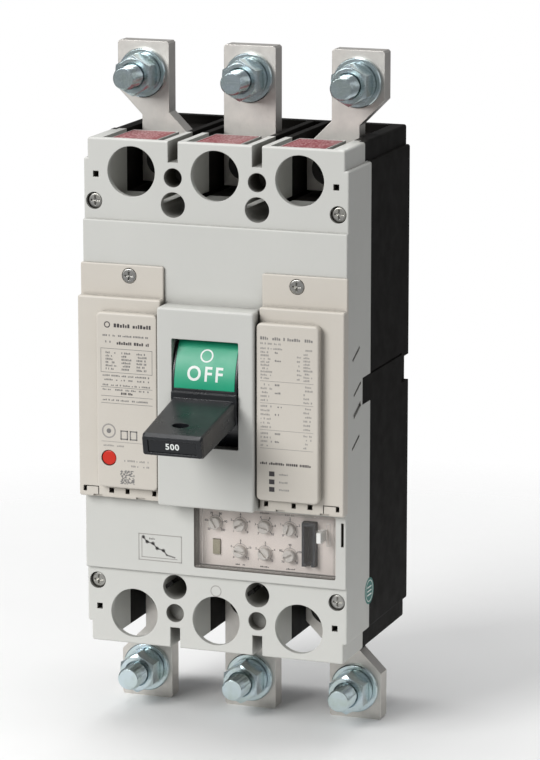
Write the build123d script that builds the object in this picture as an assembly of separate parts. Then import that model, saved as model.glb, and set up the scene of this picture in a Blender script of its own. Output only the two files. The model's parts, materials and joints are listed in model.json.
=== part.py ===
"""Three-pole moulded case circuit breaker with an electronic trip unit.

Frame, in millimetres: X to the right, Z up, the front faces -Y. The origin is the centre of
the mounting plane, and a "depth" d is the distance forward of that plane, so y = -d.
At rest the breaker is OFF, with its toggle handle down and its contacts open.
"""
import os
from math import atan2, cos, degrees, hypot, radians, sin

from build123d import *

# ---- driving dimensions -------------------------------------------------------------------
POLES = {"left": -44.0, "centre": 0.0, "right": 44.0}
ENDS = {"line": 1, "load": -1}

HALF_HEIGHT = 128.5          # casing, top and bottom
HALF_WIDTH = 69.3            # front cover
BASE_HALF_WIDTH = 69.0
LID_HALF_WIDTH = 70.0        # accessory covers
END_STRIP = 118.5            # beyond this height the casing is narrower
END_INSET = 2.0
SEAM = 62.0                  # joint between base and front cover
END_SEAM = 66.0              # the same joint in the end strips
SIDE_TAB = (-1.0, 12.5, 74.0)  # base tab in the side seam: low, high, depth reached

LEVEL_T = 96.0               # terminal zones
LEVEL_M = 98.0               # middle zones
LEVEL_TAB = 99.6             # screw tabs of the accessory covers
LEVEL_P1 = 104.0             # margins of the accessory covers
LEVEL_P2 = 108.5             # label panels of the accessory covers
LEVEL_C = 110.5              # centre block around the handle
ZONE_TOP = 88.0              # border between terminal and middle zones
ZONE_BOTTOM = -89.8
PLATFORM_TOP = 50.5
PLATFORM_BOTTOM = -51.5
PANEL_TOP = 43.6
PANEL_BOTTOM = -45.0
PANEL_OUTER = 58.4
CENTRE_HALF = 25.4
LID_GAP = 0.5

FLOOR = 5.0                  # back wall of the base
WALL = 3.0
RIB = 22.0                   # ribs between the poles stand here
RIB_HALF = 2.0
CHAMBER_END = 97.0           # terminal chambers run from here to the casing's end
CHAMBER_HALF = 16.0
CAVITY_END = 90.0            # the pole cavities end here

ACCESS_Z = 112.5
ACCESS_R = 12.6
MOUNT_Z = 97.0
MOUNT_R = 3.25
COUNTERBORE_R = 6.35
PLUG_HOLE_Z = 110.5
PLUG_HOLE_R = 4.75
SLOT_WIDTH = 5.3
SLOT_START = 118.0
COVER_SCREW = (63.8, 97.0)
LID_SCREW = (44.0, 61.0)

BAR_HALF = 13.75
BAR_FRONT = 46.5
BAR_THICK = 9.0
BAR_BACK = BAR_FRONT - BAR_THICK
BAR_INNER_Z = 100.0
BAR_OUTER_Z = 171.0
BAR_JOG_Z = 128.0
BAR_CORNER = 1.0
SPREAD = 57.0                # outer bars stand here beyond the jog
BOLT_Z = 155.0
BOLT_R = 6.0
BOLT_END = 73.5
END_CHAMFER = 0.8
PITCH_R = 5.43               # the bolt inside its nut, where the two threads meet
WASHER = (12.5, 2.5)         # flat washer: radius, thickness
LOCK_WASHER = (10.2, 3.1)    # spring washer: radius, thickness
NUT_FLATS = 18.0
NUT_START = BAR_FRONT + WASHER[1] + LOCK_WASHER[1]
NUT_END = NUT_START + 10.0

PIVOT = (6.4, 68.0)          # handle pivot: height, depth
SHIELD_R = 43.5
HANDLE_REST = 11.0           # degrees below the horizontal
HANDLE_REACH = 155.0
WINDOW = (17.5, -20.5, 33.3)  # half width, low, high
SHIELD = (-66.0, 57.0)       # ends of the arc shield, in degrees above the lever
OFF_FLAG = (14.5, 50.0)      # the same for the position flags
ON_FLAG = (-63.0, -28.0)

CROSSBAR = (-14.0, 34.0)     # contact shaft: height, depth
CROSSBAR_R = 12.0
CONTACT_OPEN = 30.0          # degrees between open and closed
TIP_CLOSED = (41.0, 20.6)
FIXED_LEVEL = 12.0           # front of the line conductor below the arc chute
LOAD_LEVEL = 24.0            # front of the load conductor through its transformer
STRIP = 4.0
STRIP_HALF = 10.0

CRADLE_PIVOT = (34.0, 66.0)
UPPER_PIVOT = (14.0, 60.0)
CRANK_R = 16.0
CRANK_ANGLE = 35.0
LINK = 14.0
TRIP_BAR = (-44.0, 66.0)
SPRING_CLEARANCE = 9.5       # from the main springs' hooked length, kept free of the toggle pin

UNIT = (-10.9, 63.8, -85.2, -53.2)   # setting recess: left, right, low, high
FACE_LEVEL = 91.0
DIAL_COLUMNS = (-1.8, 11.3, 24.4, 37.5)
DIAL_ROWS = (-62.9, -76.4)
DIAL_R = 3.1
DIALS = {
    "rated_current": (0, 0, 30.0),
    "long_time": (1, 0, -60.0),
    "short_pickup": (2, 0, 75.0),
    "short_time": (3, 0, -20.0),
    "instantaneous": (1, 1, -100.0),
    "ground_fault": (2, 1, 45.0),
    "pre_alarm": (3, 1, 120.0),
}
TEST_SOCKET = (44.7, 51.7, -80.7, -58.3)   # left, right, low, high
SIGHT = (-3.1, 0.6, -78.9, -71.5)    # sight window: left, right, low, high
POST = (55.6, -64.0)         # seal post
COVER_LEVEL = 98.1           # front of the clear cover
BUTTON = (-52.0, -30.0)
BUTTON_R = 3.7
RUNNING = 0.05
LAYERS = {"lower": (6.2, 8.2), "upper": (8.6, 10.6), "cradle": (11.0, 12.5),
          "yoke": (13.0, 15.0), "frame": (15.5, 17.5)}


# ---- shape helpers ------------------------------------------------------------------------
def block(x0, x1, z0, z1, d0, d1):
    """Box between limits across, up and in depth."""
    place = Pos((x0 + x1) / 2, -(d0 + d1) / 2, (z0 + z1) / 2)
    return place * Box(abs(x1 - x0), abs(d1 - d0), abs(z1 - z0))


def soft_block(x0, x1, z0, z1, d0, d1, corner, edge=0.0):
    """Block with rounded corners and, if asked, a rounded front edge."""
    outline = Pos((x0 + x1) / 2, (z0 + z1) / 2) * RectangleRounded(abs(x1 - x0), abs(z1 - z0), corner)
    body = extrude(Plane.XZ.offset(d0) * outline, d1 - d0)
    if edge:
        body = fillet(body.faces().sort_by(Axis.Y)[0].edges(), edge)
    return body


def rod(x, z, r, d0, d1):
    """Cylinder along the depth."""
    return Pos(x, -(d0 + d1) / 2, z) * Rot(90, 0, 0) * Cylinder(r, abs(d1 - d0))


def cross_rod(z, d, r, x0, x1):
    """Cylinder along X."""
    return Pos((x0 + x1) / 2, -d, z) * Rot(0, 90, 0) * Cylinder(r, abs(x1 - x0))


def hexagon(x, z, flats, d0, d1):
    """Hexagonal prism along the depth."""
    outline = Pos(x, z) * RegularPolygon(flats / 2, 6, major_radius=False)
    return extrude(Plane.XZ.offset(d0) * outline, d1 - d0)


def side_profile(points, x0, x1):
    """Outline of (height, depth) points, extruded from x0 to x1."""
    outline = Polygon(*[(-d, z) for z, d in points], align=None)
    return extrude(Plane.YZ.offset(min(x0, x1)) * outline, abs(x1 - x0), dir=(1, 0, 0))


def front_profile(points, d0, d1):
    """Outline of (x, height) points, extruded from d0 to d1."""
    return extrude(Plane.XZ.offset(d0) * Polygon(*points, align=None), d1 - d0, dir=(0, -1, 0))


def link_plate(a, b, r, x0, x1):
    """Flat bar with round ends between two (height, depth) points."""
    length = hypot(b[0] - a[0], b[1] - a[1])
    angle = degrees(atan2(b[0] - a[0], b[1] - a[1]))
    bar = Pos(0, -length / 2, 0) * Box(abs(x1 - x0), length, 2 * r)
    ends = cross_rod(0, 0, r, -abs(x1 - x0) / 2, abs(x1 - x0) / 2)
    tip = cross_rod(0, length, r, -abs(x1 - x0) / 2, abs(x1 - x0) / 2)
    return Pos((x0 + x1) / 2, -a[1], a[0]) * Rot(-angle, 0, 0) * (bar + ends + tip)


def joined(shapes):
    """Fuse a list of shapes."""
    result = shapes[0]
    for shape in shapes[1:]:
        result = result + shape
    return result


def cut_all(body, tools):
    """Cut every tool from the body."""
    for tool in tools:
        body = body - tool
    return body


def group(shapes):
    """Separate solids kept together in one node."""
    return Compound(children=[solid for shape in shapes for solid in shape.solids()])


def coil(radius, wire, pitch, height):
    """Helical spring standing along +Z from z = 0."""
    path = Helix(pitch, height, radius)
    section = Plane(origin=path @ 0, z_dir=path % 0) * Circle(wire / 2)
    return sweep(section, path=path, is_frenet=True)


def mirrored(shape):
    """The shape's twin on the other side of the centre plane."""
    return mirror(shape, about=Plane.YZ)


def both(shape):
    """The shape and its twin."""
    return [shape, mirrored(shape)]


def on_corners(x, z, make):
    """make(x, z) at the four corners of a rectangle about the centre."""
    return [make(sx * x, sz * z) for sx in (-1, 1) for sz in (-1, 1)]


# ---- mechanism geometry -------------------------------------------------------------------
def polar(origin, r, angle):
    """Point at r and angle, in degrees from up towards the front."""
    return (origin[0] + r * cos(radians(angle)), origin[1] + r * sin(radians(angle)))


ARM_LENGTH = hypot(TIP_CLOSED[0] - CROSSBAR[0], TIP_CLOSED[1] - CROSSBAR[1])
ARM_ANGLE = degrees(atan2(TIP_CLOSED[1] - CROSSBAR[1], TIP_CLOSED[0] - CROSSBAR[0])) + CONTACT_OPEN
CRANK = polar(CROSSBAR, CRANK_R, CRANK_ANGLE)


def toggle_point(upper, lower):
    """Toggle pin between two pivots one link length from each, on the lower side."""
    dz, dd = lower[0] - upper[0], lower[1] - upper[1]
    span = hypot(dz, dd)
    rise = (LINK ** 2 - (span / 2) ** 2) ** 0.5
    return (upper[0] + dz / 2 + rise * dd / span, upper[1] + dd / 2 - rise * dz / span)


TOGGLE = toggle_point(UPPER_PIVOT, CRANK)
YOKE_TOP = (PIVOT[0] - 33.0 * sin(radians(HANDLE_REST)), PIVOT[1] + 33.0 * cos(radians(HANDLE_REST)))


def handle_place():
    """From the handle's own frame, pivot at the origin and lever along -Y, to its rest place."""
    return Pos(0, -PIVOT[1], PIVOT[0]) * Rot(HANDLE_REST, 0, 0)


# ---- casing -------------------------------------------------------------------------------
def casing_outline(half_width, d0, d1, corner=1.2):
    """Casing prism with its narrower end strips."""
    middle = soft_block(-half_width, half_width, -END_STRIP, END_STRIP, d0, d1, corner)
    inner = half_width - END_INSET
    return middle + soft_block(-inner, inner, -HALF_HEIGHT, HALF_HEIGHT, d0, d1, corner)


def pole_cavities(d0, d1, z0, z1, outer):
    """One cavity in each pole between the ribs and the outer walls."""
    edges = (-outer, -RIB - RIB_HALF, -RIB + RIB_HALF, RIB - RIB_HALF, RIB + RIB_HALF, outer)
    return [block(edges[i], edges[i + 1], z0, z1, d0, d1) for i in (0, 2, 4)]


def chambers(d0, d1):
    """Terminal chambers, open at the casing's ends."""
    return [block(x - CHAMBER_HALF, x + CHAMBER_HALF, s * CHAMBER_END, s * (HALF_HEIGHT + 1), d0, d1)
            for x in POLES.values() for s in (1, -1)]


def barrier_slots(d0, d1):
    """Slots for the insulating barriers between neighbouring terminals."""
    half = SLOT_WIDTH / 2
    return [block(s * RIB - half, s * RIB + half, e * SLOT_START, e * (HALF_HEIGHT + 1), d0, d1)
            for s in (-1, 1) for e in (-1, 1)]


def side_tab(grow=0.0):
    """The pair of base tabs that reach forward into the side seam."""
    low, high, reach = SIDE_TAB
    outer = HALF_WIDTH + 1 if grow else BASE_HALF_WIDTH
    inner = BASE_HALF_WIDTH - WALL - grow
    return both(block(inner, outer, low - grow, high + grow, SEAM - 1, reach + grow))


def end_tabs(grow=0.0):
    """Base tabs that reach forward in the four corner strips."""
    face = BASE_HALF_WIDTH - END_INSET
    outer = HALF_WIDTH if grow else face
    return on_corners(1, 1, lambda sx, sz: block(
        sx * (face - WALL - grow), sx * outer,
        sz * (END_STRIP + 0.5 - grow), sz * (HALF_HEIGHT + grow), SEAM - 1, END_SEAM + grow))


def terminal_shelf(sign, x):
    """Pedestal in the base that carries one conductor's pad."""
    return block(x - 12, x + 12, sign * 104.5, sign * 124, FLOOR - 1, BAR_BACK - STRIP)


def conductor_slot(x, sign, level):
    """Passage for a conductor under the wall between pole cavity and terminal chamber."""
    return block(x - STRIP_HALF - 0.5, x + STRIP_HALF + 0.5, sign * (CAVITY_END - 1),
                 sign * (CHAMBER_END + 1), level - STRIP - 0.5, level + 0.5)


def make_base():
    """Black moulded base: back wall, side walls, ribs, chambers and bosses."""
    body = casing_outline(BASE_HALF_WIDTH, 0, SEAM)
    body = joined([body] + side_tab() + end_tabs())
    tools = pole_cavities(FLOOR, SEAM + 1, -CAVITY_END, CAVITY_END, BASE_HALF_WIDTH - WALL)
    tools += chambers(FLOOR, END_SEAM + 1) + barrier_slots(FLOOR, END_SEAM + 1)
    body = cut_all(body, tools)
    body = joined([body] + [terminal_shelf(s, x) for x in POLES.values() for s in (1, -1)])
    tools = [conductor_slot(x, 1, FIXED_LEVEL) for x in POLES.values()]
    tools += [conductor_slot(x, -1, LOAD_LEVEL) for x in POLES.values()]
    tools += [rod(x, s * ACCESS_Z, 6.5, 16, BAR_BACK) for x in POLES.values() for s in (1, -1)]
    tools += on_corners(RIB, MOUNT_Z, lambda x, z: rod(x, z, MOUNT_R, -1, SEAM + 1))
    tools += on_corners(RIB, MOUNT_Z, lambda x, z: rod(x, z, COUNTERBORE_R, 14, SEAM + 1))
    tools += on_corners(*COVER_SCREW, lambda x, z: rod(x, z, 2.05, 40, SEAM + 1))
    tools += shaft_notches()
    tools += back_reliefs()
    return cut_all(body, tools)


def shaft_notches():
    """Bearings of the crossbar in the two ribs, open towards the front."""
    radius = CROSSBAR_R + 0.3
    seat = cross_rod(CROSSBAR[0], CROSSBAR[1], radius, -RIB - 3, RIB + 3)
    mouth = block(-RIB - 3, RIB + 3, CROSSBAR[0] - radius, CROSSBAR[0] + radius, CROSSBAR[1], SEAM + 1)
    return [seat, mouth]


def back_reliefs():
    """Side grooves, rear notches and the rear pockets that keep the back wall even."""
    edge = BASE_HALF_WIDTH
    groove = block(edge - 0.8, edge + 1, SIDE_TAB[1] - 0.6, SIDE_TAB[1] + 0.6, 11, SEAM - 2)
    notch = block(edge - 2.2, edge + 1, -2.7, 10.6, -1, 11)
    pocket = [soft_block(x - 14, x + 14, z - 17, z + 17, -1, 1.6, 3)
              for x in POLES.values() for z in (-58, 58)]
    return both(groove) + both(notch) + pocket


def make_front_cover():
    """Grey front cover with the centre block, accessory wells and the setting recess."""
    body = casing_outline(HALF_WIDTH, SEAM, LEVEL_T)
    body = fillet(body.faces().sort_by(Axis.Y)[0].edges(), 0.9)
    middle = soft_block(-HALF_WIDTH, HALF_WIDTH, ZONE_BOTTOM, ZONE_TOP, LEVEL_T - 4, LEVEL_M, 0.8, 0.7)
    centre = soft_block(-CENTRE_HALF, CENTRE_HALF, PLATFORM_BOTTOM, PLATFORM_TOP - 2,
                        LEVEL_M - 4, LEVEL_C, 1.5, 1.2)
    body = body + middle + centre
    return cut_all(body, cover_hollows() + cover_holes() + [setting_recess()])


def handle_hollow():
    """Round hollow in which the arc shield turns, with the window in front of it."""
    half, low, high = WINDOW
    hollow = cross_rod(PIVOT[0], PIVOT[1], SHIELD_R + 0.7, -19.6, 19.6)
    limit = block(-19.6, 19.6, -60, 60, SEAM - 2, LEVEL_C - 2.2)
    window = soft_block(-half, half, low, high, 80, LEVEL_C + 1, 0.8)
    return [hollow & limit, window]


def cover_hollows():
    """Everything hollow behind the front cover's skin."""
    inner = HALF_WIDTH - WALL
    tools = pole_cavities(SEAM - 1, LEVEL_M - WALL, 53, CAVITY_END - 4, inner)
    tools += pole_cavities(SEAM - 1, 66, -48, 53, inner)
    tools += [block(-19.6, 19.6, -48, 52, SEAM - 1, 96)]
    tools += [block(-62, 66, -86, -48, SEAM - 1, 89)]
    tools += chambers(SEAM - 1, LEVEL_T - WALL) + barrier_slots(SEAM - 1, LEVEL_T + 1)
    tools += both(block(RIB + 5.4, inner, -47, 46.5, 70, LEVEL_M + 1))
    tools += [block(-60, 60, TRIP_BAR[0] - 6, TRIP_BAR[0] + 6, SEAM - 1, 73)]
    tools += side_tab(0.1) + end_tabs(0.1)
    return tools + handle_hollow()


def cover_holes():
    """Holes and recesses made from the front."""
    tools = [rod(x, s * ACCESS_Z, ACCESS_R, SEAM, LEVEL_T + 1) for x in POLES.values() for s in (1, -1)]
    tools += on_corners(RIB, MOUNT_Z, lambda x, z: rod(x, z, COUNTERBORE_R, SEAM - 1, LEVEL_T + 1))
    tools += [rod(s * RIB, PLUG_HOLE_Z, PLUG_HOLE_R, LEVEL_T - 16, LEVEL_T + 1) for s in (-1, 1)]
    tools += [rod(s * RIB, -PLUG_HOLE_Z, PLUG_HOLE_R, LEVEL_T - 6, LEVEL_T + 1) for s in (-1, 1)]
    tools += on_corners(*COVER_SCREW, lambda x, z: rod(x, z, 2.2, SEAM - 1, LEVEL_T + 1))
    tools += on_corners(*COVER_SCREW, lambda x, z: rod(x, z, 4.3, LEVEL_T - 4.2, LEVEL_T + 1))
    tools += on_corners(62.8, 110.4, lambda x, z: block(x - 1.5, x + 1.5, z - 1.5, z + 1.5,
                                                        LEVEL_T - 8, LEVEL_T + 1))
    tools += [rod(s * LID_SCREW[0], LID_SCREW[1], 1.6, 84, LEVEL_M + 1) for s in (-1, 1)]
    tools += [rod(*BUTTON, 2.15, SEAM, 72)]
    tools += [block(66.6, 68.0, -68, -56, LEVEL_M - 5, LEVEL_M + 1)]
    tools += side_slits()
    return tools


def side_slits():
    """Short slanted vents in the side walls."""
    tools = []
    for z, d, width in ((26.5, 84.0, 1.5), (8.5, 82.0, 1.5), (-2.0, 82.0, 2.8), (-18.0, 84.0, 1.5)):
        slit = Pos(HALF_WIDTH, -d, z) * Rot(25, 0, 0) * Box(2.4, 12, width)
        tools += both(slit)
    return tools


def label_tab(x):
    """Tongue over one line chamber that carries the terminal label."""
    return block(x - 12, x + 12, HALF_HEIGHT - 3.2, HALF_HEIGHT - 0.3, SEAM, LEVEL_T - WALL + 0.5)


def setting_recess():
    """Recess of the trip unit's settings in the lower middle zone."""
    left, right, low, high = UNIT
    return soft_block(left, right, low, high, 86, LEVEL_M + 1, 1.0)


def accessory_cover(side):
    """Beige lid over one accessory well; side is -1 left and 1 right."""
    inner = CENTRE_HALF + LID_GAP
    tab = soft_block(inner, LID_HALF_WIDTH, PLATFORM_TOP - 3, 66.5, LEVEL_M + 0.05, LEVEL_TAB, 1.0, 0.6)
    step = soft_block(inner, LID_HALF_WIDTH, PLATFORM_BOTTOM, PLATFORM_TOP, LEVEL_M + 0.05, LEVEL_P1,
                      1.0, 0.9)
    panel = soft_block(inner, PANEL_OUTER, PANEL_BOTTOM, PANEL_TOP, LEVEL_P1 - 3, LEVEL_P2, 2.5, 1.0)
    body = tab + step + panel
    skirt = block(HALF_WIDTH - WALL - 2.3, HALF_WIDTH - WALL - 0.3, -46.6, 46.1, 92, LEVEL_M + 3)
    body = body + skirt
    tools = [block(inner + 2.5, PANEL_OUTER - 2.5, PANEL_BOTTOM + 2.5, PANEL_TOP - 2.5,
                   LEVEL_M - 8, LEVEL_P2 - 2.5)]
    tools += [block(inner + 2.5, HALF_WIDTH - WALL + 0.3, PANEL_BOTTOM - 1.5, PLATFORM_TOP - 4,
                    LEVEL_M - 8, LEVEL_P1 - 2.5)]
    tools += [rod(LID_SCREW[0], LID_SCREW[1], 1.8, 90, LEVEL_TAB + 1)]
    tools += [rod(LID_SCREW[0], LID_SCREW[1], 3.9, LEVEL_TAB - 0.8, LEVEL_TAB + 1)]
    tools += rail_holes()
    body = cut_all(body, tools)
    if side < 0:
        body = mirrored(body)
        body = body - rod(*BUTTON, BUTTON_R + 0.35, 90, LEVEL_P2 + 1)
    return body


def rail_holes():
    """Small square holes and notches along the lid's lower rail, and the outline of its latch."""
    z = (PLATFORM_BOTTOM + PANEL_BOTTOM) / 2 + 0.6
    holes = [block(x - w / 2, x + w / 2, z - 1.3, z + 1.3, LEVEL_M - 4, LEVEL_P1 + 1)
             for x, w in ((29.6, 2.2), (44.0, 2.2), (52.5, 2.6), (66.8, 1.8))]
    lower = [block(x - 2.4, x + 2.4, PLATFORM_BOTTOM - 1, PLATFORM_BOTTOM + 1.2, LEVEL_P1 - 1.5,
                   LEVEL_P1 + 1) for x in (37.0, 60.0)]
    line = 0.5
    inner, outer, top = PANEL_OUTER + 0.9, PANEL_OUTER + 9, PANEL_BOTTOM - 1
    latch = [block(inner, outer, top - line, top, LEVEL_P1 - 0.7, LEVEL_P1 + 1),
             block(inner, inner + line, PLATFORM_BOTTOM - 1, top, LEVEL_P1 - 0.7, LEVEL_P1 + 1)]
    return holes + lower + latch


# ---- handle -------------------------------------------------------------------------------
def shield_sector(r0, r1, a0, a1, half):
    """Ring sector about the handle pivot; angles in degrees above the lever."""
    ring = Rot(0, 90, 0) * (Cylinder(r1, 2 * half) - Cylinder(r0, 2 * half + 1))
    reach = 2 * r1
    steps = [a0 + (a1 - a0) * i / 4 for i in range(5)]
    points = [(0, 0)] + [(-reach * cos(radians(a)), reach * sin(radians(a))) for a in steps]
    outline = Plane.YZ.offset(-half - 1) * Polygon(*points, align=None)
    wedge = extrude(outline, 2 * half + 2, dir=(1, 0, 0))
    return ring & wedge


def flag(a0, a1, grow=0.0):
    """Coloured position flag let into the shield."""
    return shield_sector(SHIELD_R - 1.2 - grow, SHIELD_R + 0.15 + grow, a0 - grow, a1 + grow, 15.8 + grow)


def lever():
    """Tapered lever of the handle in its own frame."""
    reach = (HANDLE_REACH - PIVOT[1]) / cos(radians(HANDLE_REST))
    root = Plane(origin=(0, -SHIELD_R + 2, 0), x_dir=(1, 0, 0), z_dir=(0, -1, 0))
    tip = Plane(origin=(0, -reach + 2.2, 0), x_dir=(1, 0, 0), z_dir=(0, -1, 0))
    body = loft([root * RectangleRounded(33.2, 12.8, 1.6), tip * RectangleRounded(31.2, 11.6, 1.4)])
    nose = loft([tip * RectangleRounded(31.2, 11.6, 1.4),
                 tip.offset(2.2) * RectangleRounded(30.2, 9.6, 1.2)])
    body = body + nose
    body = body - Pos(0, -reach + 0.4, -0.2) * Box(25.0, 1.6, 6.6)
    hole = Pos(0, -reach + 13, 0) * extrude(Ellipse(4.3, 2.9), 9, both=True)
    return body - hole


def make_handle():
    """Black moulded handle: lever, collar and arc shield in one piece."""
    shield = shield_sector(SHIELD_R - 3.2, SHIELD_R, *SHIELD, 17.0)
    collar = shield_sector(SHIELD_R - 1, SHIELD_R + 1.3, -12, 12, 17.0)
    neck = shield_sector(38.2, SHIELD_R - 1, -11, 11, 12.0)
    body = shield + collar + neck + lever()
    body = cut_all(body, [flag(*OFF_FLAG, 0.05), flag(*ON_FLAG, 0.05)])
    return handle_place() * body


def make_rating_plate():
    """Small plate in the lever's nose."""
    reach = (HANDLE_REACH - PIVOT[1]) / cos(radians(HANDLE_REST))
    plate = Pos(0, -reach + 0.8, -0.2) * Box(24.6, 0.7, 6.2)
    return handle_place() * plate


def make_yoke():
    """Steel fork that carries the handle and turns in the mechanism frame."""
    inner, outer = LAYERS["yoke"]
    arm = Pos((inner + outer) / 2, -18, 0) * Box(outer - inner, 40, 11)
    hub = Rot(0, 90, 0) * Pos(0, 0, (inner + outer) / 2) * Cylinder(7, outer - inner)
    stub = Rot(0, 90, 0) * Pos(0, 0, (inner + 18) / 2) * Cylinder(3, 18 - inner)
    bridge = Pos(0, -36.1, 0) * Box(2 * outer, 2.4, 11)
    hook = Pos(0, -33.6, 0) * Rot(0, 90, 0) * Cylinder(1.6, 2 * inner)
    body = joined(both(arm + hub + stub)) + bridge + hook
    return handle_place() * body


# ---- conductors and contacts --------------------------------------------------------------
def pole_bar(x, sign):
    """Tin-plated terminal bar; the outer ones step outwards beyond the casing."""
    shift = (SPREAD - abs(x)) * (1 if x > 0 else -1) if x else 0
    lean = 0.4142 * BAR_HALF * (1 if shift > 0 else -1 if shift < 0 else 0)
    turn, end = BAR_JOG_Z, BAR_JOG_Z + abs(shift)
    right = [(x + BAR_HALF, BAR_INNER_Z), (x + BAR_HALF, turn + lean), (x + shift + BAR_HALF, end + lean)]
    left = [(x + shift - BAR_HALF, end - lean), (x - BAR_HALF, turn - lean), (x - BAR_HALF, BAR_INNER_Z)]
    far, near, cut = x + shift + BAR_HALF, x + shift - BAR_HALF, BAR_CORNER
    top = [(far, BAR_OUTER_Z - cut), (far - cut, BAR_OUTER_Z), (near + cut, BAR_OUTER_Z),
           (near, BAR_OUTER_Z - cut)]
    outline = right + top + left if shift else right[:1] + top + left[-1:]
    outline = [(px, sign * pz) for px, pz in outline]
    body = front_profile(outline, BAR_BACK, BAR_FRONT)
    body = body - rod(x + shift, sign * BOLT_Z, BOLT_R + 0.5, BAR_BACK - 1, BAR_FRONT + 1)
    return body - rod(x, sign * ACCESS_Z, 5.5, BAR_BACK - 1, BAR_FRONT + 1)


def bolt_spots():
    """Centres of the six terminal bolts."""
    return [(x + (SPREAD - abs(x)) * (1 if x > 0 else -1) if x else 0.0, s * BOLT_Z)
            for x in POLES.values() for s in (1, -1)]


def make_terminal_bolts():
    """Hexagon bolts through the bar ends, heads behind."""
    bolts = []
    for x, z in bolt_spots():
        head = hexagon(x, z, NUT_FLATS, BAR_BACK - 7.5, BAR_BACK)
        shank = rod(x, z, BOLT_R, BAR_BACK - 1, NUT_START)
        engaged = rod(x, z, PITCH_R, NUT_START - 1, NUT_END + 0.5)
        free_end = rod(x, z, BOLT_R, NUT_END + 0.3, BOLT_END)
        free_end = chamfer(free_end.faces().sort_by(Axis.Y)[0].edges(), END_CHAMFER)
        bolts.append(joined([head, shank, engaged, free_end]))
    return group(bolts)


def ring(x, z, outer, inner, d0, d1):
    """Plain ring along the depth."""
    return rod(x, z, outer, d0, d1) - rod(x, z, inner, d0 - 1, d1 + 1)


def make_flat_washers():
    """Flat washers on the bars."""
    radius, thickness = WASHER
    return group([ring(x, z, radius, BOLT_R + 0.4, BAR_FRONT, BAR_FRONT + thickness)
                  for x, z in bolt_spots()])


def make_spring_washers():
    """Split lock washers on the flat washers."""
    radius, thickness = LOCK_WASHER
    washers = []
    for x, z in bolt_spots():
        washer = ring(x, z, radius, BOLT_R + 0.3, NUT_START - thickness, NUT_START)
        split = block(x - 0.7, x + 0.7, z + BOLT_R - 1, z + radius + 1, BAR_FRONT + 2, NUT_START + 1)
        washers.append(washer - split)
    return group(washers)


def make_terminal_nuts():
    """Hexagon nuts with rounded-off corners."""
    nuts = []
    for x, z in bolt_spots():
        nut = hexagon(x, z, NUT_FLATS, NUT_START, NUT_END)
        nut = nut - rod(x, z, PITCH_R + 0.02, NUT_START - 1, NUT_END + 1)
        round_off = rod(x, z, NUT_FLATS * 0.575, NUT_START, NUT_END)
        round_off = fillet(round_off.faces().sort_by(Axis.Y)[0].edges(), 1.2)
        nuts.append(nut & round_off)
    return group(nuts)


def make_bar_screws():
    """Hexagon socket screws that hold the bars to the conductors inside."""
    screws = []
    for x in POLES.values():
        for s in (1, -1):
            head = rod(x, s * ACCESS_Z, 8, BAR_FRONT, BAR_FRONT + 9)
            screw = head + rod(x, s * ACCESS_Z, 5, 20, BAR_FRONT + 1)
            screws.append(screw - hexagon(x, s * ACCESS_Z, 8, BAR_FRONT + 4, BAR_FRONT + 10))
    return group(screws)


def conductor(x, sign, level, inner_end):
    """Stepped copper strip from the bar's pad, down and along the pole."""
    low = level - STRIP
    pad = BAR_BACK
    points = [(124, pad), (99, pad), (99, level), (inner_end, level), (inner_end, low), (103, low),
              (103, pad - STRIP), (124, pad - STRIP)]
    body = side_profile([(sign * z, d) for z, d in points], x - STRIP_HALF, x + STRIP_HALF)
    return body - rod(x, sign * ACCESS_Z, 5.05, pad - STRIP - 1, pad + 1)


def fixed_contact(x):
    """Line conductor and its contact tip."""
    tip = block(x - 4.5, x + 4.5, 36.5, 45, FIXED_LEVEL, FIXED_LEVEL + 2.5)
    return group([conductor(x, 1, FIXED_LEVEL, 35), tip])


def moving_contact(x):
    """Contact arm with its tip, open at rest."""
    arm = Pos(0, 0, ARM_LENGTH / 2 + 1) * Box(9, 8, ARM_LENGTH + 2)
    hub = Rot(0, 90, 0) * Cylinder(8.5, 9)
    tip = Pos(0, 4.1, ARM_LENGTH) * Box(8, 0.7, 8)
    tail = Pos(0, 0, -7.5) * Box(9, 6, 13)
    place = Pos(x, -CROSSBAR[1], CROSSBAR[0]) * Rot(ARM_ANGLE, 0, 0)
    bore = Rot(0, 90, 0) * Cylinder(2.55, 12)
    return place * (arm + hub + tail + tip - bore)


def make_crossbar():
    """Moulded shaft that carries the three contact arms and the crank lugs."""
    body = cross_rod(*CROSSBAR, CROSSBAR_R, -64.5, 64.5)
    for x in POLES.values():
        body = body - cross_rod(*CROSSBAR, CROSSBAR_R + 1, x - 4.7, x + 4.7)
        body = body + cross_rod(*CROSSBAR, 2.5, x - 5, x + 5)
        web = side_profile([polar(CROSSBAR, 11.9, ARM_ANGLE + a) for a in (100, 140)]
                           + [polar(CROSSBAR, 9.3, ARM_ANGLE + a) for a in (140, 100)], x - 5, x + 5)
        body = body + web
    lug = link_plate(CROSSBAR, CRANK, 4.5, *LAYERS["upper"])
    stub = cross_rod(*CRANK, 2.2, 5.6, LAYERS["upper"][0] + 1)
    return joined([body] + both(lug + stub))


def make_contact_springs():
    """Small coil springs that press the arms, one in front of each hub."""
    springs = []
    for x in POLES.values():
        spring = coil(2.6, 1.0, 2.0, 6.0)
        place = Pos(x, -CROSSBAR[1], CROSSBAR[0]) * Rot(ARM_ANGLE, 0, 0)
        springs.append(place * Pos(0, -8.2, 15) * spring)
    return group(springs)


def load_conductor(x):
    """Load conductor that runs through its transformer."""
    return conductor(x, -1, LOAD_LEVEL, 33)


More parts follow.
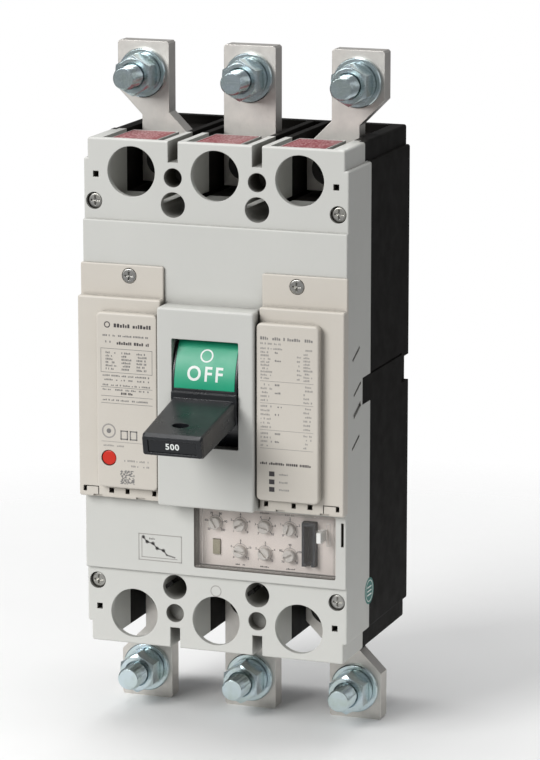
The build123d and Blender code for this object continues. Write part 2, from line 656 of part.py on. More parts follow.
def flexible_shunt(x):
    """Laminated flexible strap between the load conductor and the contact arm's heel."""
    points = [(-42, LOAD_LEVEL), (-34, LOAD_LEVEL), (-34, LOAD_LEVEL + 1.5), (-39.5, 30), (-39.5, 42),
              (-34, 46), (-32.5, 49), (-36, 49), (-42, 43)]
    return side_profile(points, x - 7, x + 7)


def current_transformer(x):
    """Sensor ring round one load conductor."""
    body = soft_block(x - 17, x + 17, -78, -52, 6, 38, 2)
    return body - block(x - 11.5, x + 11.5, -79, -51, 18.5, 25.5)


def arc_plates(x):
    """Deion plates of one arc chute, with a notch towards the contacts."""
    plates = []
    for i in range(9):
        d = 17 + 4.8 * i
        outline = [(x - 15.5, 48), (x - 7, 48), (x - 3, 60), (x + 3, 60), (x + 7, 48), (x + 15.5, 48),
                   (x + 15.5, 84), (x - 15.5, 84)]
        plates.append(front_profile(outline, d, d + 1.6))
    return group(plates)


def make_chute_walls():
    """Fibre side walls of the arc chutes."""
    return group([block(x + s * 15.5, x + s * 17, 47, 85, 15, 60)
                  for x in POLES.values() for s in (-1, 1)])


# ---- operating mechanism ------------------------------------------------------------------
def make_mechanism_frame():
    """Two steel side plates that carry the mechanism."""
    points = [(-36, FLOOR), (42, FLOOR), (42, 60), (38, 73), (22, 78), (-10, 78), (-28, 62), (-36, 50)]
    plate = side_profile(points, *LAYERS["frame"])
    inner, outer = LAYERS["frame"]
    plate = plate - cross_rod(*CROSSBAR, CROSSBAR_R + 0.3, inner - 1, outer + 1)
    plate = plate - cross_rod(*PIVOT, 3 + RUNNING, inner - 1, outer + 1)
    plate = plate - cross_rod(*CRADLE_PIVOT, 3, inner - 1, outer + 1)
    return group(both(plate))


def make_mechanism_pins():
    """Cradle pivot pin and spacer pin of the frame."""
    reach = LAYERS["frame"][1]
    pivot = cross_rod(*CRADLE_PIVOT, 3, -reach, reach)
    spacer = cross_rod(-31, 12, 2.5, -LAYERS["frame"][0], LAYERS["frame"][0])
    return group([pivot, spacer])


def make_cradle():
    """Latched cradle that holds the upper toggle pivot."""
    inner, outer = LAYERS["cradle"]
    latch_end = (-27.0, 66.0)
    side = link_plate(CRADLE_PIVOT, latch_end, 4.0, inner, outer)
    side = side + cross_rod(*UPPER_PIVOT, 4.5, inner, outer) + cross_rod(*CRADLE_PIVOT, 6, inner, outer)
    side = side - cross_rod(*CRADLE_PIVOT, 3 + RUNNING, inner - 1, outer + 1)
    side = side + cross_rod(*UPPER_PIVOT, 2.0, LAYERS["upper"][0] - 0.4, outer)
    bridge = cross_rod(*latch_end, 2.2, -inner - 0.5, inner + 0.5)
    return joined(both(side)) + bridge


def make_upper_links():
    """Pair of links from the cradle to the toggle pin."""
    inner, outer = LAYERS["upper"]
    plate = link_plate(UPPER_PIVOT, TOGGLE, 3.4, inner, outer)
    plate = plate - cross_rod(*UPPER_PIVOT, 2 + RUNNING, inner - 1, outer + 1)
    plate = plate - cross_rod(*TOGGLE, 2.3, inner - 1, outer + 1)
    return group(both(plate))


def make_lower_links():
    """Pair of links from the toggle pin to the crank, with the toggle pin."""
    inner, outer = LAYERS["lower"]
    plate = link_plate(CRANK, TOGGLE, 3.6, inner, outer)
    plate = plate - cross_rod(*CRANK, 2.2 + RUNNING, inner - 1, outer + 1)
    pin = cross_rod(*TOGGLE, 1.7, -outer - 0.2, outer + 0.2)
    return joined(both(plate)) + pin


def make_main_springs():
    """Pair of tension springs from the yoke towards the toggle pin."""
    spring = coil(2.6, 1.3, 2.6, YOKE_TOP[1] - TOGGLE[1] - SPRING_CLEARANCE)
    return group([Pos(x, 2.4 - YOKE_TOP[1], YOKE_TOP[0] + 0.4) * Rot(-90, 0, 0) * spring
                  for x in (-3.9, 3.9)])


def make_trip_bar():
    """Trip shaft with paddles for the latch, the button and the actuator."""
    body = cross_rod(*TRIP_BAR, 3.5, -57, 57)
    latch = block(-8, 8, TRIP_BAR[0], -31.5, 64.5, 67.5)
    button = block(BUTTON[0] - 4, BUTTON[0] + 4, TRIP_BAR[0], BUTTON[1] + 4, 62.7, 65.0)
    push = block(40, 48, TRIP_BAR[0] - 3, TRIP_BAR[0] - 0.5, 47, TRIP_BAR[1])
    return body + latch + button + push


def make_trip_actuator():
    """Magnetic trip actuator above the right-hand transformer."""
    body = soft_block(36, 52, -84, -62, 41, 57, 1.5)
    bore = Pos(44, -50, -66) * Cylinder(2.1, 20)
    return body - bore


def make_actuator_plunger():
    """Sliding plunger of the trip actuator."""
    return Pos(44, -50, -61.5) * Cylinder(2.05, 16) + Pos(44, -50, -54.4) * Cylinder(3.2, 1.8)


def make_trip_button():
    """Red push-to-trip button with its stem."""
    head = fillet(rod(*BUTTON, BUTTON_R, 100, 108.2).faces().sort_by(Axis.Y)[0].edges(), 0.5)
    return head + rod(*BUTTON, 2.1, 65.5, 101) + rod(*BUTTON, 4.6, 99.2, 100.6)


def make_button_spring():
    """Return spring round the button's stem."""
    return Pos(BUTTON[0], -71, BUTTON[1]) * Rot(90, 0, 0) * coil(3.2, 0.8, 3.6, 24)


# ---- trip unit ----------------------------------------------------------------------------
def dial_spot(name):
    """Centre of one dial."""
    column, row, _ = DIALS[name]
    return DIAL_COLUMNS[column], DIAL_ROWS[row]


def make_unit_case():
    """Housing of the electronic trip unit."""
    body = soft_block(-61, 65, -85.5, -51, 62.4, 88.8, 1.5)
    body = body - block(-59, 63, -83.5, -53, 64.4, 84)
    tools = [rod(*dial_spot(name), 2.6, 80, 90) for name in DIALS]
    return cut_all(body, tools + [around(TEST_SOCKET, 83, 90)])


def around(limits, d0, d1):
    """Block that clears a rectangle by a small gap."""
    left, right, low, high = limits
    return block(left - 0.3, right + 0.3, low - 0.3, high + 0.3, d0, d1)


def make_circuit_board():
    """Circuit board with its controller, coils and capacitors."""
    board = block(-57, 61, -82.5, -54, 72, 73.6)
    parts = [block(-40, -22, -78, -60, 73.6, 76), block(-12, 2, -74, -62, 73.6, 75.5)]
    parts += [rod(x, -70, 4, 73.6, 80) for x in (-50, 56)]
    return joined([board] + parts)


def make_faceplate():
    """Front plate of the settings, with a hole for each dial's shaft."""
    left, right, low, high = UNIT
    plate = soft_block(left + 0.4, right - 0.4, low + 0.4, high - 0.4, 89, FACE_LEVEL, 0.8)
    tools = [rod(*dial_spot(name), 2.2 + RUNNING, 88, 93) for name in DIALS]
    return cut_all(plate, tools + [around(TEST_SOCKET, 88, 93), around(SIGHT, 88, 93)])


def make_dial(name):
    """Rotary setting switch: knob with a screwdriver slot and a pointer notch."""
    x, z = dial_spot(name)
    knob = Cylinder(DIAL_R, 3.0)
    knob = chamfer(knob.faces().sort_by(Axis.Z)[-1].edges(), 0.4)
    knob = knob - Pos(0, 0, 1.4) * Box(0.34 * DIAL_R, 1.45 * DIAL_R, 1.8)
    knob = knob - Pos(0, 0.7 * DIAL_R, 1.4) * Rot(0, 0, 45) * Box(0.5 * DIAL_R, 0.5 * DIAL_R, 1.8)
    shaft = Pos(0, 0, -5) * Cylinder(2.2, 7.6)
    place = Pos(x, -(FACE_LEVEL + 1.8), z) * Rot(90, 0, 0) * Rot(0, 0, DIALS[name][2])
    return place * (knob + shaft)


def make_test_connector():
    """Socket for the test set, with a keyed lower end."""
    left, right, low, high = TEST_SOCKET
    body = block(*TEST_SOCKET, 84.5, 94.2)
    mouth = block(left + 1.2, right - 1.2, low + 1.5, high - 1.7, 88, 95)
    key = block(left + 2.1, right - 2.1, low - 0.3, low + 2.3, 90, 95)
    return cut_all(body, [mouth, key])


def make_indicator_window():
    """Small sight window left of the dials."""
    return block(*SIGHT, 89.2, 92.0)


def post_block(grow, d0, d1):
    """The seal post's section, or the slot round it."""
    x, z = POST
    return block(x - 1.1 - grow, x + 1.1 + grow, z - 2.6 - grow, z + 2.6 + grow, d0, d1)


def make_seal_post():
    """White flat post that keeps the clear cover shut and takes a lead seal."""
    top = COVER_LEVEL + 2
    return post_block(0, FACE_LEVEL, top) - cross_rod(POST[1], top - 1, 0.5, POST[0] - 2, POST[0] + 2)


def make_setting_cover():
    """Clear hinged cover over the settings."""
    left, right, low, high = UNIT
    lens = soft_block(left + 1.3, right - 0.4, low + 0.5, high - 0.5, 96.2, COVER_LEVEL, 1.0, 0.4)
    rim = soft_block(left + 2.4, right - 0.4, low + 0.5, high - 0.5, 95.0, 96.4, 1.0)
    rim = rim - soft_block(left + 3.6, right - 1.6, low + 1.7, high - 1.7, 94.0, 97.0, 0.8)
    barrel = Pos(left + 1.4, -97.15, (low + high) / 2) * Cylinder(0.95, high - low - 1.0)
    body = lens + rim + barrel
    body = body - post_block(0.4, 94, 99)
    grip = soft_block(right - 4.6, right - 2.6, -68, -56.5, COVER_LEVEL - 0.1, COVER_LEVEL + 0.8, 0.4)
    return body + grip


# ---- screws -------------------------------------------------------------------------------
def cross_screw(x, z, head_r, seat, head, shank_r, tail):
    """Pan-head screw with a cross recess; seat is where the head bears."""
    top = rod(x, z, head_r, seat, seat + head)
    top = fillet(top.faces().sort_by(Axis.Y)[0].edges(), head * 0.45)
    recess = [Pos(x, -(seat + head), z) * Box(w, 2.2, h)
              for w, h in ((head_r * 1.2, head_r * 0.26), (head_r * 0.26, head_r * 1.2))]
    return cut_all(top + rod(x, z, shank_r, tail, seat + 0.5), recess)


def make_cover_screws():
    """Four screws that hold the front cover to the base."""
    return group(on_corners(*COVER_SCREW, lambda x, z: cross_screw(x, z, 4.1, LEVEL_T - 4.2, 2.8, 2.0, 42)))


def make_lid_screws():
    """Screw in the tab of each accessory cover."""
    return group([cross_screw(s * LID_SCREW[0], LID_SCREW[1], 3.7, LEVEL_TAB - 0.8, 1.4, 1.55, 85)
                  for s in (-1, 1)])


# ---- all nodes ----------------------------------------------------------------------------
def all_parts():
    """Every node's name and shape."""
    cover = make_front_cover()
    cover = joined([cover] + [label_tab(x) for x in POLES.values()])
    parts = {
        "base": make_base(),
        "front_cover": cover,
        "left_accessory_cover": accessory_cover(-1),
        "right_accessory_cover": accessory_cover(1),
        "cover_screws": make_cover_screws(),
        "accessory_cover_screws": make_lid_screws(),
        "handle": make_handle(),
        "rating_plate": make_rating_plate(),
        "off_flag": handle_place() * flag(*OFF_FLAG),
        "on_flag": handle_place() * flag(*ON_FLAG),
        "handle_yoke": make_yoke(),
        "terminal_bolts": make_terminal_bolts(),
        "terminal_flat_washers": make_flat_washers(),
        "terminal_spring_washers": make_spring_washers(),
        "terminal_nuts": make_terminal_nuts(),
        "bar_fixing_screws": make_bar_screws(),
        "crossbar": make_crossbar(),
        "contact_springs": make_contact_springs(),
        "arc_chute_walls": make_chute_walls(),
        "mechanism_frame": make_mechanism_frame(),
        "mechanism_pins": make_mechanism_pins(),
        "cradle": make_cradle(),
        "upper_links": make_upper_links(),
        "lower_links": make_lower_links(),
        "main_springs": make_main_springs(),
        "trip_bar": make_trip_bar(),
        "trip_actuator": make_trip_actuator(),
        "actuator_plunger": make_actuator_plunger(),
        "trip_button": make_trip_button(),
        "trip_button_spring": make_button_spring(),
        "trip_unit_case": make_unit_case(),
        "circuit_board": make_circuit_board(),
        "setting_faceplate": make_faceplate(),
        "test_connector": make_test_connector(),
        "indicator_window": make_indicator_window(),
        "seal_post": make_seal_post(),
        "setting_cover": make_setting_cover(),
        "fixed_contacts": group([fixed_contact(x) for x in POLES.values()]),
        "load_conductors": group([load_conductor(x) for x in POLES.values()]),
        "flexible_shunts": group([flexible_shunt(x) for x in POLES.values()]),
    }
    for pole, x in POLES.items():
        for end, sign in ENDS.items():
            parts[f"{end}_bar_{pole}"] = pole_bar(x, sign)
        parts[f"moving_contact_{pole}"] = moving_contact(x)
        parts[f"arc_plates_{pole}"] = arc_plates(x)
    parts["current_transformers"] = group([current_transformer(x) for x in POLES.values()])
    for name in DIALS:
        parts[f"dial_{name}"] = make_dial(name)
    return parts


os.makedirs("parts", exist_ok=True)
for node, shape in all_parts().items():
    export_step(shape, f"parts/{node}.step")
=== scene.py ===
import json
import random
from math import atan2, cos, pi, radians, sin, tan

import bmesh
import bpy
from mathutils import Matrix, Vector


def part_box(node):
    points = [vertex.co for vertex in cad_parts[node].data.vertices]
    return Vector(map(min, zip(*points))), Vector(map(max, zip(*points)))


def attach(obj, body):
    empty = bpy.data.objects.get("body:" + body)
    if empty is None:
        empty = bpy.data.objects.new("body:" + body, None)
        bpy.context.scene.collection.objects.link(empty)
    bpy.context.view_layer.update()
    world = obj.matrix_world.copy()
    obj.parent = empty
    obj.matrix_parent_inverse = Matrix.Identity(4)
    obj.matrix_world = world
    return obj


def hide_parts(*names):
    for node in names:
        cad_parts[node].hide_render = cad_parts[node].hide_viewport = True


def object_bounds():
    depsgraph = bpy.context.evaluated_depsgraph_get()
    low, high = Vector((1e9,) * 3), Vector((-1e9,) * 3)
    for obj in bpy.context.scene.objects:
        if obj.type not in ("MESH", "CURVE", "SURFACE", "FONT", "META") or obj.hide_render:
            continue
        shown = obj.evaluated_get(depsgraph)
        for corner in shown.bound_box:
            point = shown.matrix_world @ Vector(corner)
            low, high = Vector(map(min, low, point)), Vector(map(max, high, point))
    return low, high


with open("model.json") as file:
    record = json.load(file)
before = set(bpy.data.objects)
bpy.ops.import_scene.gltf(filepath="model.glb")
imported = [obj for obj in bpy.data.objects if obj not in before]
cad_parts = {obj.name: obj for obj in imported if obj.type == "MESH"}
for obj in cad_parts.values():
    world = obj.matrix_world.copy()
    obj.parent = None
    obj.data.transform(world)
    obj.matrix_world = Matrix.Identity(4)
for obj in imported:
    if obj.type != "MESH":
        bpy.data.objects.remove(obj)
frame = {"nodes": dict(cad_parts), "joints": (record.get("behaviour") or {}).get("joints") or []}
CAD_LOW, CAD_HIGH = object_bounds()

# Moulded case circuit breaker, in metres: X right, Z up, the front faces -Y. The origin is the
# centre of the mounting plane, so a point's depth forward of it is -y.
MM = 0.001
POLE_PITCH = 44 * MM
INK = 0.05 * MM              # thickness of printed ink
PAPER = 0.12 * MM            # thickness of labels and stickers


def joint_place(name):
    """Where a joint's axis is, in the row frame."""
    return Vector(next(j["pos_m"] for j in frame["joints"] if j["name"] == name))


def front_of(node):
    """The y of a node's foremost point."""
    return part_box(node)[0].y


# ---- materials ----------------------------------------------------------------------------
def srgb(red, green, blue):
    """Linear colour of an sRGB colour given in 0 to 255."""
    levels = [c / 255 for c in (red, green, blue)]
    linear = [c / 12.92 if c <= 0.04045 else ((c + 0.055) / 1.055) ** 2.4 for c in levels]
    return tuple(linear) + (1.0,)


def shade(colour, factor):
    """The colour made lighter or darker."""
    return tuple(min(1.0, c * factor) for c in colour[:3]) + (1.0,)


FACTOR, COLOUR_A, COLOUR_B, COLOUR_RESULT = 0, 6, 7, 2   # sockets of a colour mix node
NOISE_ROUGHNESS = 0.55       # weight of a noise's finer layers
RAYS = 4                     # samples of an edge or recess test
EDGE = (0.80, 0.99)          # a softened normal's agreement with the plain one: full edge, none
OPEN = (0.18, 0.62)          # share of open sky: full painted shade, none
# reach of the painted shade that darkens holes and narrow gaps
RECESS_SHADE_REACH = 14 * MM
METAL_GRAIN = 0.25 * MM


class Shader:
    """A material's node tree with its Principled shader."""

    def __init__(self, name):
        self.material = bpy.data.materials.new(name)
        self.material.use_nodes = True
        self.tree = self.material.node_tree
        self.surface = self.tree.nodes["Principled BSDF"]
        self.places = self.add("ShaderNodeTexCoord").outputs["Object"]

    def add(self, kind, **settings):
        """New node with its settings."""
        node = self.tree.nodes.new(kind)
        for key, value in settings.items():
            setattr(node, key, value)
        return node

    def link(self, source, target):
        self.tree.links.new(source, target)

    def stretched(self, scale):
        """Object coordinates scaled apart along the three axes."""
        node = self.add("ShaderNodeMapping")
        node.inputs["Scale"].default_value = scale
        self.link(self.places, node.inputs["Vector"])
        return node.outputs["Vector"]

    def noise(self, size, detail=3.0, coords=None):
        """Noise whose features are about size metres."""
        node = self.add("ShaderNodeTexNoise")
        node.inputs["Scale"].default_value = 1 / size
        node.inputs["Detail"].default_value = detail
        node.inputs["Roughness"].default_value = NOISE_ROUGHNESS
        self.link(coords or self.places, node.inputs["Vector"])
        return node.outputs["Fac"]

    def ranged(self, value, low, high, start=0.3, end=0.7):
        """A value between start and end brought to low to high."""
        node = self.add("ShaderNodeMapRange")
        self.link(value, node.inputs["Value"])
        for key, setting in (("From Min", start), ("From Max", end),
                             ("To Min", low), ("To Max", high)):
            node.inputs[key].default_value = setting
        return node.outputs["Result"]

    def times(self, a, b):
        """Product of two outputs."""
        node = self.add("ShaderNodeMath", operation="MULTIPLY")
        self.link(a, node.inputs[0])
        self.link(b, node.inputs[1])
        return node.outputs["Value"]

    def mix(self, factor, a, b):
        """Colour a mixed to b by a varying factor; each is a colour or a node's output."""
        node = self.add("ShaderNodeMix", data_type="RGBA")
        self.link(factor, node.inputs[FACTOR])
        for socket, colour in ((COLOUR_A, a), (COLOUR_B, b)):
            if isinstance(colour, tuple):
                node.inputs[socket].default_value = colour
            else:
                self.link(colour, node.inputs[socket])
        return node.outputs[COLOUR_RESULT]

    def edges(self, radius):
        """Softened normal, and how much a point belongs to a sharp edge."""
        bevel = self.add("ShaderNodeBevel", samples=RAYS)
        bevel.inputs["Radius"].default_value = radius
        plain = self.add("ShaderNodeNewGeometry").outputs["Normal"]
        dot = self.add("ShaderNodeVectorMath", operation="DOT_PRODUCT")
        self.link(bevel.outputs["Normal"], dot.inputs[0])
        self.link(plain, dot.inputs[1])
        return bevel.outputs["Normal"], self.ranged(dot.outputs["Value"], 1.0, 0.0, *EDGE)

    def recesses(self, reach):
        """How open a point is: 0 deep in a hole or gap narrower than reach, 1 on an open face."""
        node = self.add("ShaderNodeAmbientOcclusion", samples=RAYS)
        node.inputs["Distance"].default_value = reach
        return self.ranged(node.outputs["AO"], 0.0, 1.0, *OPEN)

    def bump(self, height, depth, normal=None):
        """Normal of a relief of the given depth."""
        node = self.add("ShaderNodeBump")
        node.inputs["Strength"].default_value = 1.0
        node.inputs["Distance"].default_value = depth
        self.link(height, node.inputs["Height"])
        if normal:
            self.link(normal, node.inputs["Normal"])
        return node.outputs["Normal"]


def plastic(name, colour, rough, grain=0.35 * MM, depth=0.012 * MM, blotch=0.05, edge_wear_and_highlight=1.25,
            edge=0.35 * MM, specular=0.5, recess_shade=None):
    """Moulded plastic: fine grain, flow marks, uneven gloss, paler edges that are part wear and
    part painted highlight, and painted shade in recesses.
    """
    s = Shader(name)
    flow = s.noise(38 * MM, 4.0)
    speck = s.noise(1.6 * MM, 5.0)
    body = s.mix(s.ranged(flow, 0, 1), shade(colour, 1 - blotch), shade(colour, 1 + blotch))
    body = s.mix(s.ranged(speck, 0.0, 0.35, 0.52, 0.75), body, shade(colour, 1 - 2 * blotch))
    normal, rim = s.edges(edge)
    # paler edges: partly wear, partly a painted highlight where light catches them
    wear_and_highlight = s.times(rim, s.ranged(s.noise(4 * MM, 4.0), 0.25, 0.9))
    body = s.mix(wear_and_highlight, body, shade(colour, edge_wear_and_highlight))
    # painted shade: holes and narrow gaps darkened towards a dark colour
    if recess_shade:
        body = s.mix(s.recesses(RECESS_SHADE_REACH), recess_shade, body)
    s.link(body, s.surface.inputs["Base Color"])
    gloss = s.ranged(s.noise(9 * MM, 5.0), rough - 0.05, rough + 0.07)
    s.link(gloss, s.surface.inputs["Roughness"])
    s.link(s.bump(s.noise(grain, 3.0), depth, normal), s.surface.inputs["Normal"])
    s.surface.inputs["Specular IOR Level"].default_value = specular
    return s.material


def metal(name, colour, tint, rough, brushed=None, depth=0.004 * MM, edge=0.25 * MM, dull=0.55):
    """Plated or bare metal: clouds of two tones, brushing or grain, dull spots, edges made paler as
    a painted highlight.
    """
    s = Shader(name)
    clouds = s.noise(7 * MM, 4.0)
    body = s.mix(s.ranged(clouds, 0, 1), colour, tint)
    spots = s.ranged(s.noise(2.2 * MM, 6.0), 0.0, 0.6, 0.56, 0.78)
    body = s.mix(spots, body, shade(colour, dull))
    normal, rim = s.edges(edge)
    # painted highlight: every edge made paler
    body = s.mix(rim, body, shade(colour, 1.35))
    s.link(body, s.surface.inputs["Base Color"])
    s.surface.inputs["Metallic"].default_value = 1.0
    coords = s.stretched(brushed) if brushed else None
    grains = s.noise(METAL_GRAIN, 4.0, coords)
    s.link(s.ranged(grains, rough - 0.07, rough + 0.12), s.surface.inputs["Roughness"])
    s.link(s.bump(grains, depth, normal), s.surface.inputs["Normal"])
    return s.material


def ink(name, colour, spread=0.12):
    """Printed ink with slightly uneven cover."""
    s = Shader(name)
    cover = s.noise(0.5 * MM, 4.0)
    s.link(s.mix(s.ranged(cover, 0, 1), shade(colour, 1 - spread), shade(colour, 1 + spread)),
           s.surface.inputs["Base Color"])
    s.link(s.ranged(s.noise(1.2 * MM), 0.42, 0.6), s.surface.inputs["Roughness"])
    s.link(s.bump(cover, 0.004 * MM), s.surface.inputs["Normal"])
    return s.material


def clear_plastic(name, colour, opacity):
    """Clear moulded cover: thin tint, fine scuffs, a slightly wavy gloss and a painted highlight
    along its edges.
    """
    s = Shader(name)
    scuffs = s.noise(1.1 * MM, 6.0, s.stretched((1, 1, 0.25)))
    normal, rim = s.edges(0.9 * MM)
    s.link(s.mix(s.ranged(s.noise(14 * MM), 0, 1), shade(colour, 0.94), shade(colour, 1.04)),
           s.surface.inputs["Base Color"])
    s.link(s.ranged(scuffs, 0.05, 0.22, 0.45, 0.8), s.surface.inputs["Roughness"])
    s.link(s.bump(s.noise(6 * MM, 2.0), 0.02 * MM, normal), s.surface.inputs["Normal"])
    # painted highlight: edges more opaque, so the cover's rim shows pale
    s.link(s.ranged(rim, opacity, 0.75, 0.0, 1.0), s.surface.inputs["Alpha"])
    s.surface.inputs["IOR"].default_value = 1.58
    return s.material


def wavy_fibre(name, colour):
    """Pressed fibre with visible strands."""
    s = Shader(name)
    strands = s.noise(0.8 * MM, 6.0, s.stretched((1, 1, 0.12)))
    s.link(s.mix(s.ranged(strands, 0, 1), shade(colour, 0.75), shade(colour, 1.2)),
           s.surface.inputs["Base Color"])
    s.link(s.ranged(strands, 0.55, 0.8), s.surface.inputs["Roughness"])
    s.link(s.bump(strands, 0.03 * MM), s.surface.inputs["Normal"])
    return s.material


GREY = srgb(205, 205, 200)
BEIGE = srgb(208, 202, 192)
RECESS_SHADE = srgb(74, 70, 62)      # painted shade: colour of the same plastics deep in a hole
MATERIALS = {
    "grey": plastic("cover_grey_plastic", GREY, 0.46, edge_wear_and_highlight=1.2, blotch=0.015,
                    edge=0.5 * MM, recess_shade=RECESS_SHADE),
    "beige": plastic("lid_beige_plastic", BEIGE, 0.44, edge_wear_and_highlight=1.25, blotch=0.015,
                     edge=0.5 * MM, recess_shade=RECESS_SHADE),
    "black": plastic("base_black_plastic", srgb(24, 22, 20), 0.58, grain=0.5 * MM, depth=0.008 * MM,
                     blotch=0.06, edge_wear_and_highlight=2.0, edge=0.5 * MM, specular=0.07),
    "handle": plastic("handle_black_plastic", srgb(29, 31, 34), 0.3, grain=0.3 * MM,
                      depth=0.004 * MM, blotch=0.05, edge_wear_and_highlight=2.4, edge=0.6 * MM),
    "plate": plastic("plate_black_plastic", srgb(26, 28, 31), 0.24, blotch=0.08, edge_wear_and_highlight=1.8),
    "green": plastic("flag_green_plastic", srgb(16, 160, 120), 0.36, blotch=0.05, edge_wear_and_highlight=1.3,
                     depth=0.006 * MM),
    "red_flag": plastic("flag_red_plastic", srgb(196, 38, 30), 0.34, blotch=0.05, edge_wear_and_highlight=1.3,
                        depth=0.006 * MM),
    "button": plastic("button_red_plastic", srgb(205, 48, 34), 0.34, blotch=0.06, edge_wear_and_highlight=1.3,
                      depth=0.006 * MM),
    "unit": plastic("unit_grey_plastic", srgb(120, 120, 118), 0.5),
    "face": plastic("setting_face_plastic", srgb(226, 216, 209), 0.5, blotch=0.03, edge_wear_and_highlight=1.1),
    "dial": plastic("dial_grey_plastic", srgb(196, 191, 185), 0.42, blotch=0.05, edge_wear_and_highlight=1.25,
                    edge=0.2 * MM),
    "slate": plastic("connector_slate_plastic", srgb(26, 32, 40), 0.45, blotch=0.07, edge_wear_and_highlight=1.4),
    "window": plastic("sight_window_plastic", srgb(148, 142, 122), 0.2, blotch=0.1, edge=0.15 * MM),
    "white": plastic("post_white_plastic", srgb(240, 240, 236), 0.35, blotch=0.03, edge_wear_and_highlight=1.05),
    "shaft": plastic("shaft_brown_thermoset", srgb(92, 62, 44), 0.45, blotch=0.15, edge_wear_and_highlight=1.3),
    "coil_black": plastic("coil_black_plastic", srgb(48, 48, 52), 0.4, blotch=0.1, edge_wear_and_highlight=1.5),
    "board": plastic("board_green_resist", srgb(28, 96, 54), 0.3, blotch=0.12, edge_wear_and_highlight=1.2),
    "fibre": wavy_fibre("vulcanised_fibre", srgb(150, 74, 58)),
    "tin": metal("tin_plate", srgb(212, 208, 202), srgb(200, 197, 192), 0.42, brushed=(1, 1, 0.06),
                 depth=0.006 * MM, dull=0.85, edge=0.4 * MM),
    "zinc": metal("bright_zinc", srgb(204, 218, 226), srgb(190, 204, 200), 0.2, dull=0.7,
                  edge=0.2 * MM),
    "screw": metal("screw_zinc", srgb(186, 184, 176), srgb(170, 170, 170), 0.32, dull=0.6),
    "steel": metal("frame_steel", srgb(176, 178, 182), srgb(190, 186, 176), 0.38,
                   brushed=(1, 0.1, 1)),
    "spring": metal("spring_steel", srgb(168, 168, 170), srgb(150, 150, 155), 0.3),
    "copper": metal("bare_copper", srgb(200, 132, 100), srgb(184, 112, 84), 0.36,
                    brushed=(1, 1, 0.1)),
    "arc_steel": metal("arc_steel", srgb(150, 150, 152), srgb(132, 130, 128), 0.45),
    "oxide": metal("black_oxide", srgb(62, 60, 58), srgb(48, 48, 50), 0.42, dull=0.7),
    "grey_ink": ink("grey_ink", srgb(128, 126, 124)),
    "pale_ink": ink("pale_ink", srgb(158, 154, 150)),
    "dark_ink": ink("dark_ink", srgb(62, 58, 60)),
    "white_ink": ink("white_ink", srgb(236, 240, 236), 0.03),
    "rose": ink("rose_label", srgb(136, 56, 62), 0.06),
    "rose_print": ink("rose_label_print", srgb(190, 146, 146), 0.05),
    "teal": ink("teal_sticker", srgb(62, 128, 120), 0.08),
    "clear": clear_plastic("clear_polycarbonate", srgb(226, 220, 214), 0.045),
}

FINISH = {
    "grey": ["front_cover"],
    "beige": ["left_accessory_cover", "right_accessory_cover"],
    "black": ["base"],
    "handle": ["handle"],
    "plate": ["rating_plate"],
    "green": ["off_flag"],
    "red_flag": ["on_flag"],
    "button": ["trip_button"],
    "unit": ["trip_unit_case"],
    "face": ["setting_faceplate"],
    "slate": ["test_connector"],
    "window": ["indicator_window"],
    "white": ["seal_post"],
    "clear": ["setting_cover"],
    "shaft": ["crossbar", "trip_bar"],
    "coil_black": ["current_transformers", "trip_actuator"],
    "board": ["circuit_board"],
    "fibre": ["arc_chute_walls"],
    "screw": ["cover_screws", "accessory_cover_screws"],
    "steel": ["handle_yoke", "mechanism_frame", "cradle", "upper_links", "lower_links"],
    "spring": ["contact_springs", "main_springs", "trip_button_spring", "mechanism_pins",
               "actuator_plunger"],
    "copper": ["fixed_contacts", "load_conductors", "flexible_shunts"],
    "oxide": ["bar_fixing_screws"],
}


def finish_of(node):
    """The material of a CAD node."""
    for key, members in FINISH.items():
        if node in members:
            return MATERIALS[key]
    starts = {"dial_": "dial", "line_bar": "tin", "load_bar": "tin", "arc_plates": "arc_steel",
              "moving_contact": "copper", "terminal_": "zinc"}
    return MATERIALS[next(key for start, key in starts.items() if node.startswith(start))]


def dress_nodes():
    """Every CAD node gets its material."""
    for name, node in frame["nodes"].items():
        node.data.materials.clear()
        node.data.materials.append(finish_of(name))


# ---- mesh building ------------------------------------------------------------------------
SHARP_ANGLE = radians(38)    # edges sharper than this aren't smoothed
ANGLE_SLACK = 0.001
SLAB_FACES = [(0, 1, 3, 2), (4, 5, 7, 6), (0, 1, 5, 4), (2, 3, 7, 6), (0, 2, 6, 4), (1, 3, 7, 5)]


def add_shape(bm, points, faces, place=None):
    """Add points and faces to a bmesh, moved by a matrix if given."""
    verts = [bm.verts.new(place @ Vector(p) if place else p) for p in points]
    for face in faces:
        bm.faces.new([verts[i] for i in face])


def piece(name, bm, material, body, smooth=False, replaces=()):
    """Turn a bmesh into an object that rides on a body."""
    bmesh.ops.recalc_face_normals(bm, faces=bm.faces)
    mesh = bpy.data.meshes.new(name)
    bm.to_mesh(mesh)
    bm.free()
    if smooth:
        mesh.shade_smooth()
        mesh.set_sharp_from_angle(angle=SHARP_ANGLE)
    obj = bpy.data.objects.new(name, mesh)
    bpy.context.scene.collection.objects.link(obj)
    mesh.materials.append(material)
    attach(obj, body)
    if replaces:
        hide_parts(*replaces)


def add_slab(bm, x0, x1, z0, z1, back, front):
    """Thin slab facing forwards; back and front are its y limits."""
    points = [(x, y, z) for y in (back, front) for z in (z0, z1) for x in (x0, x1)]
    add_shape(bm, points, SLAB_FACES)


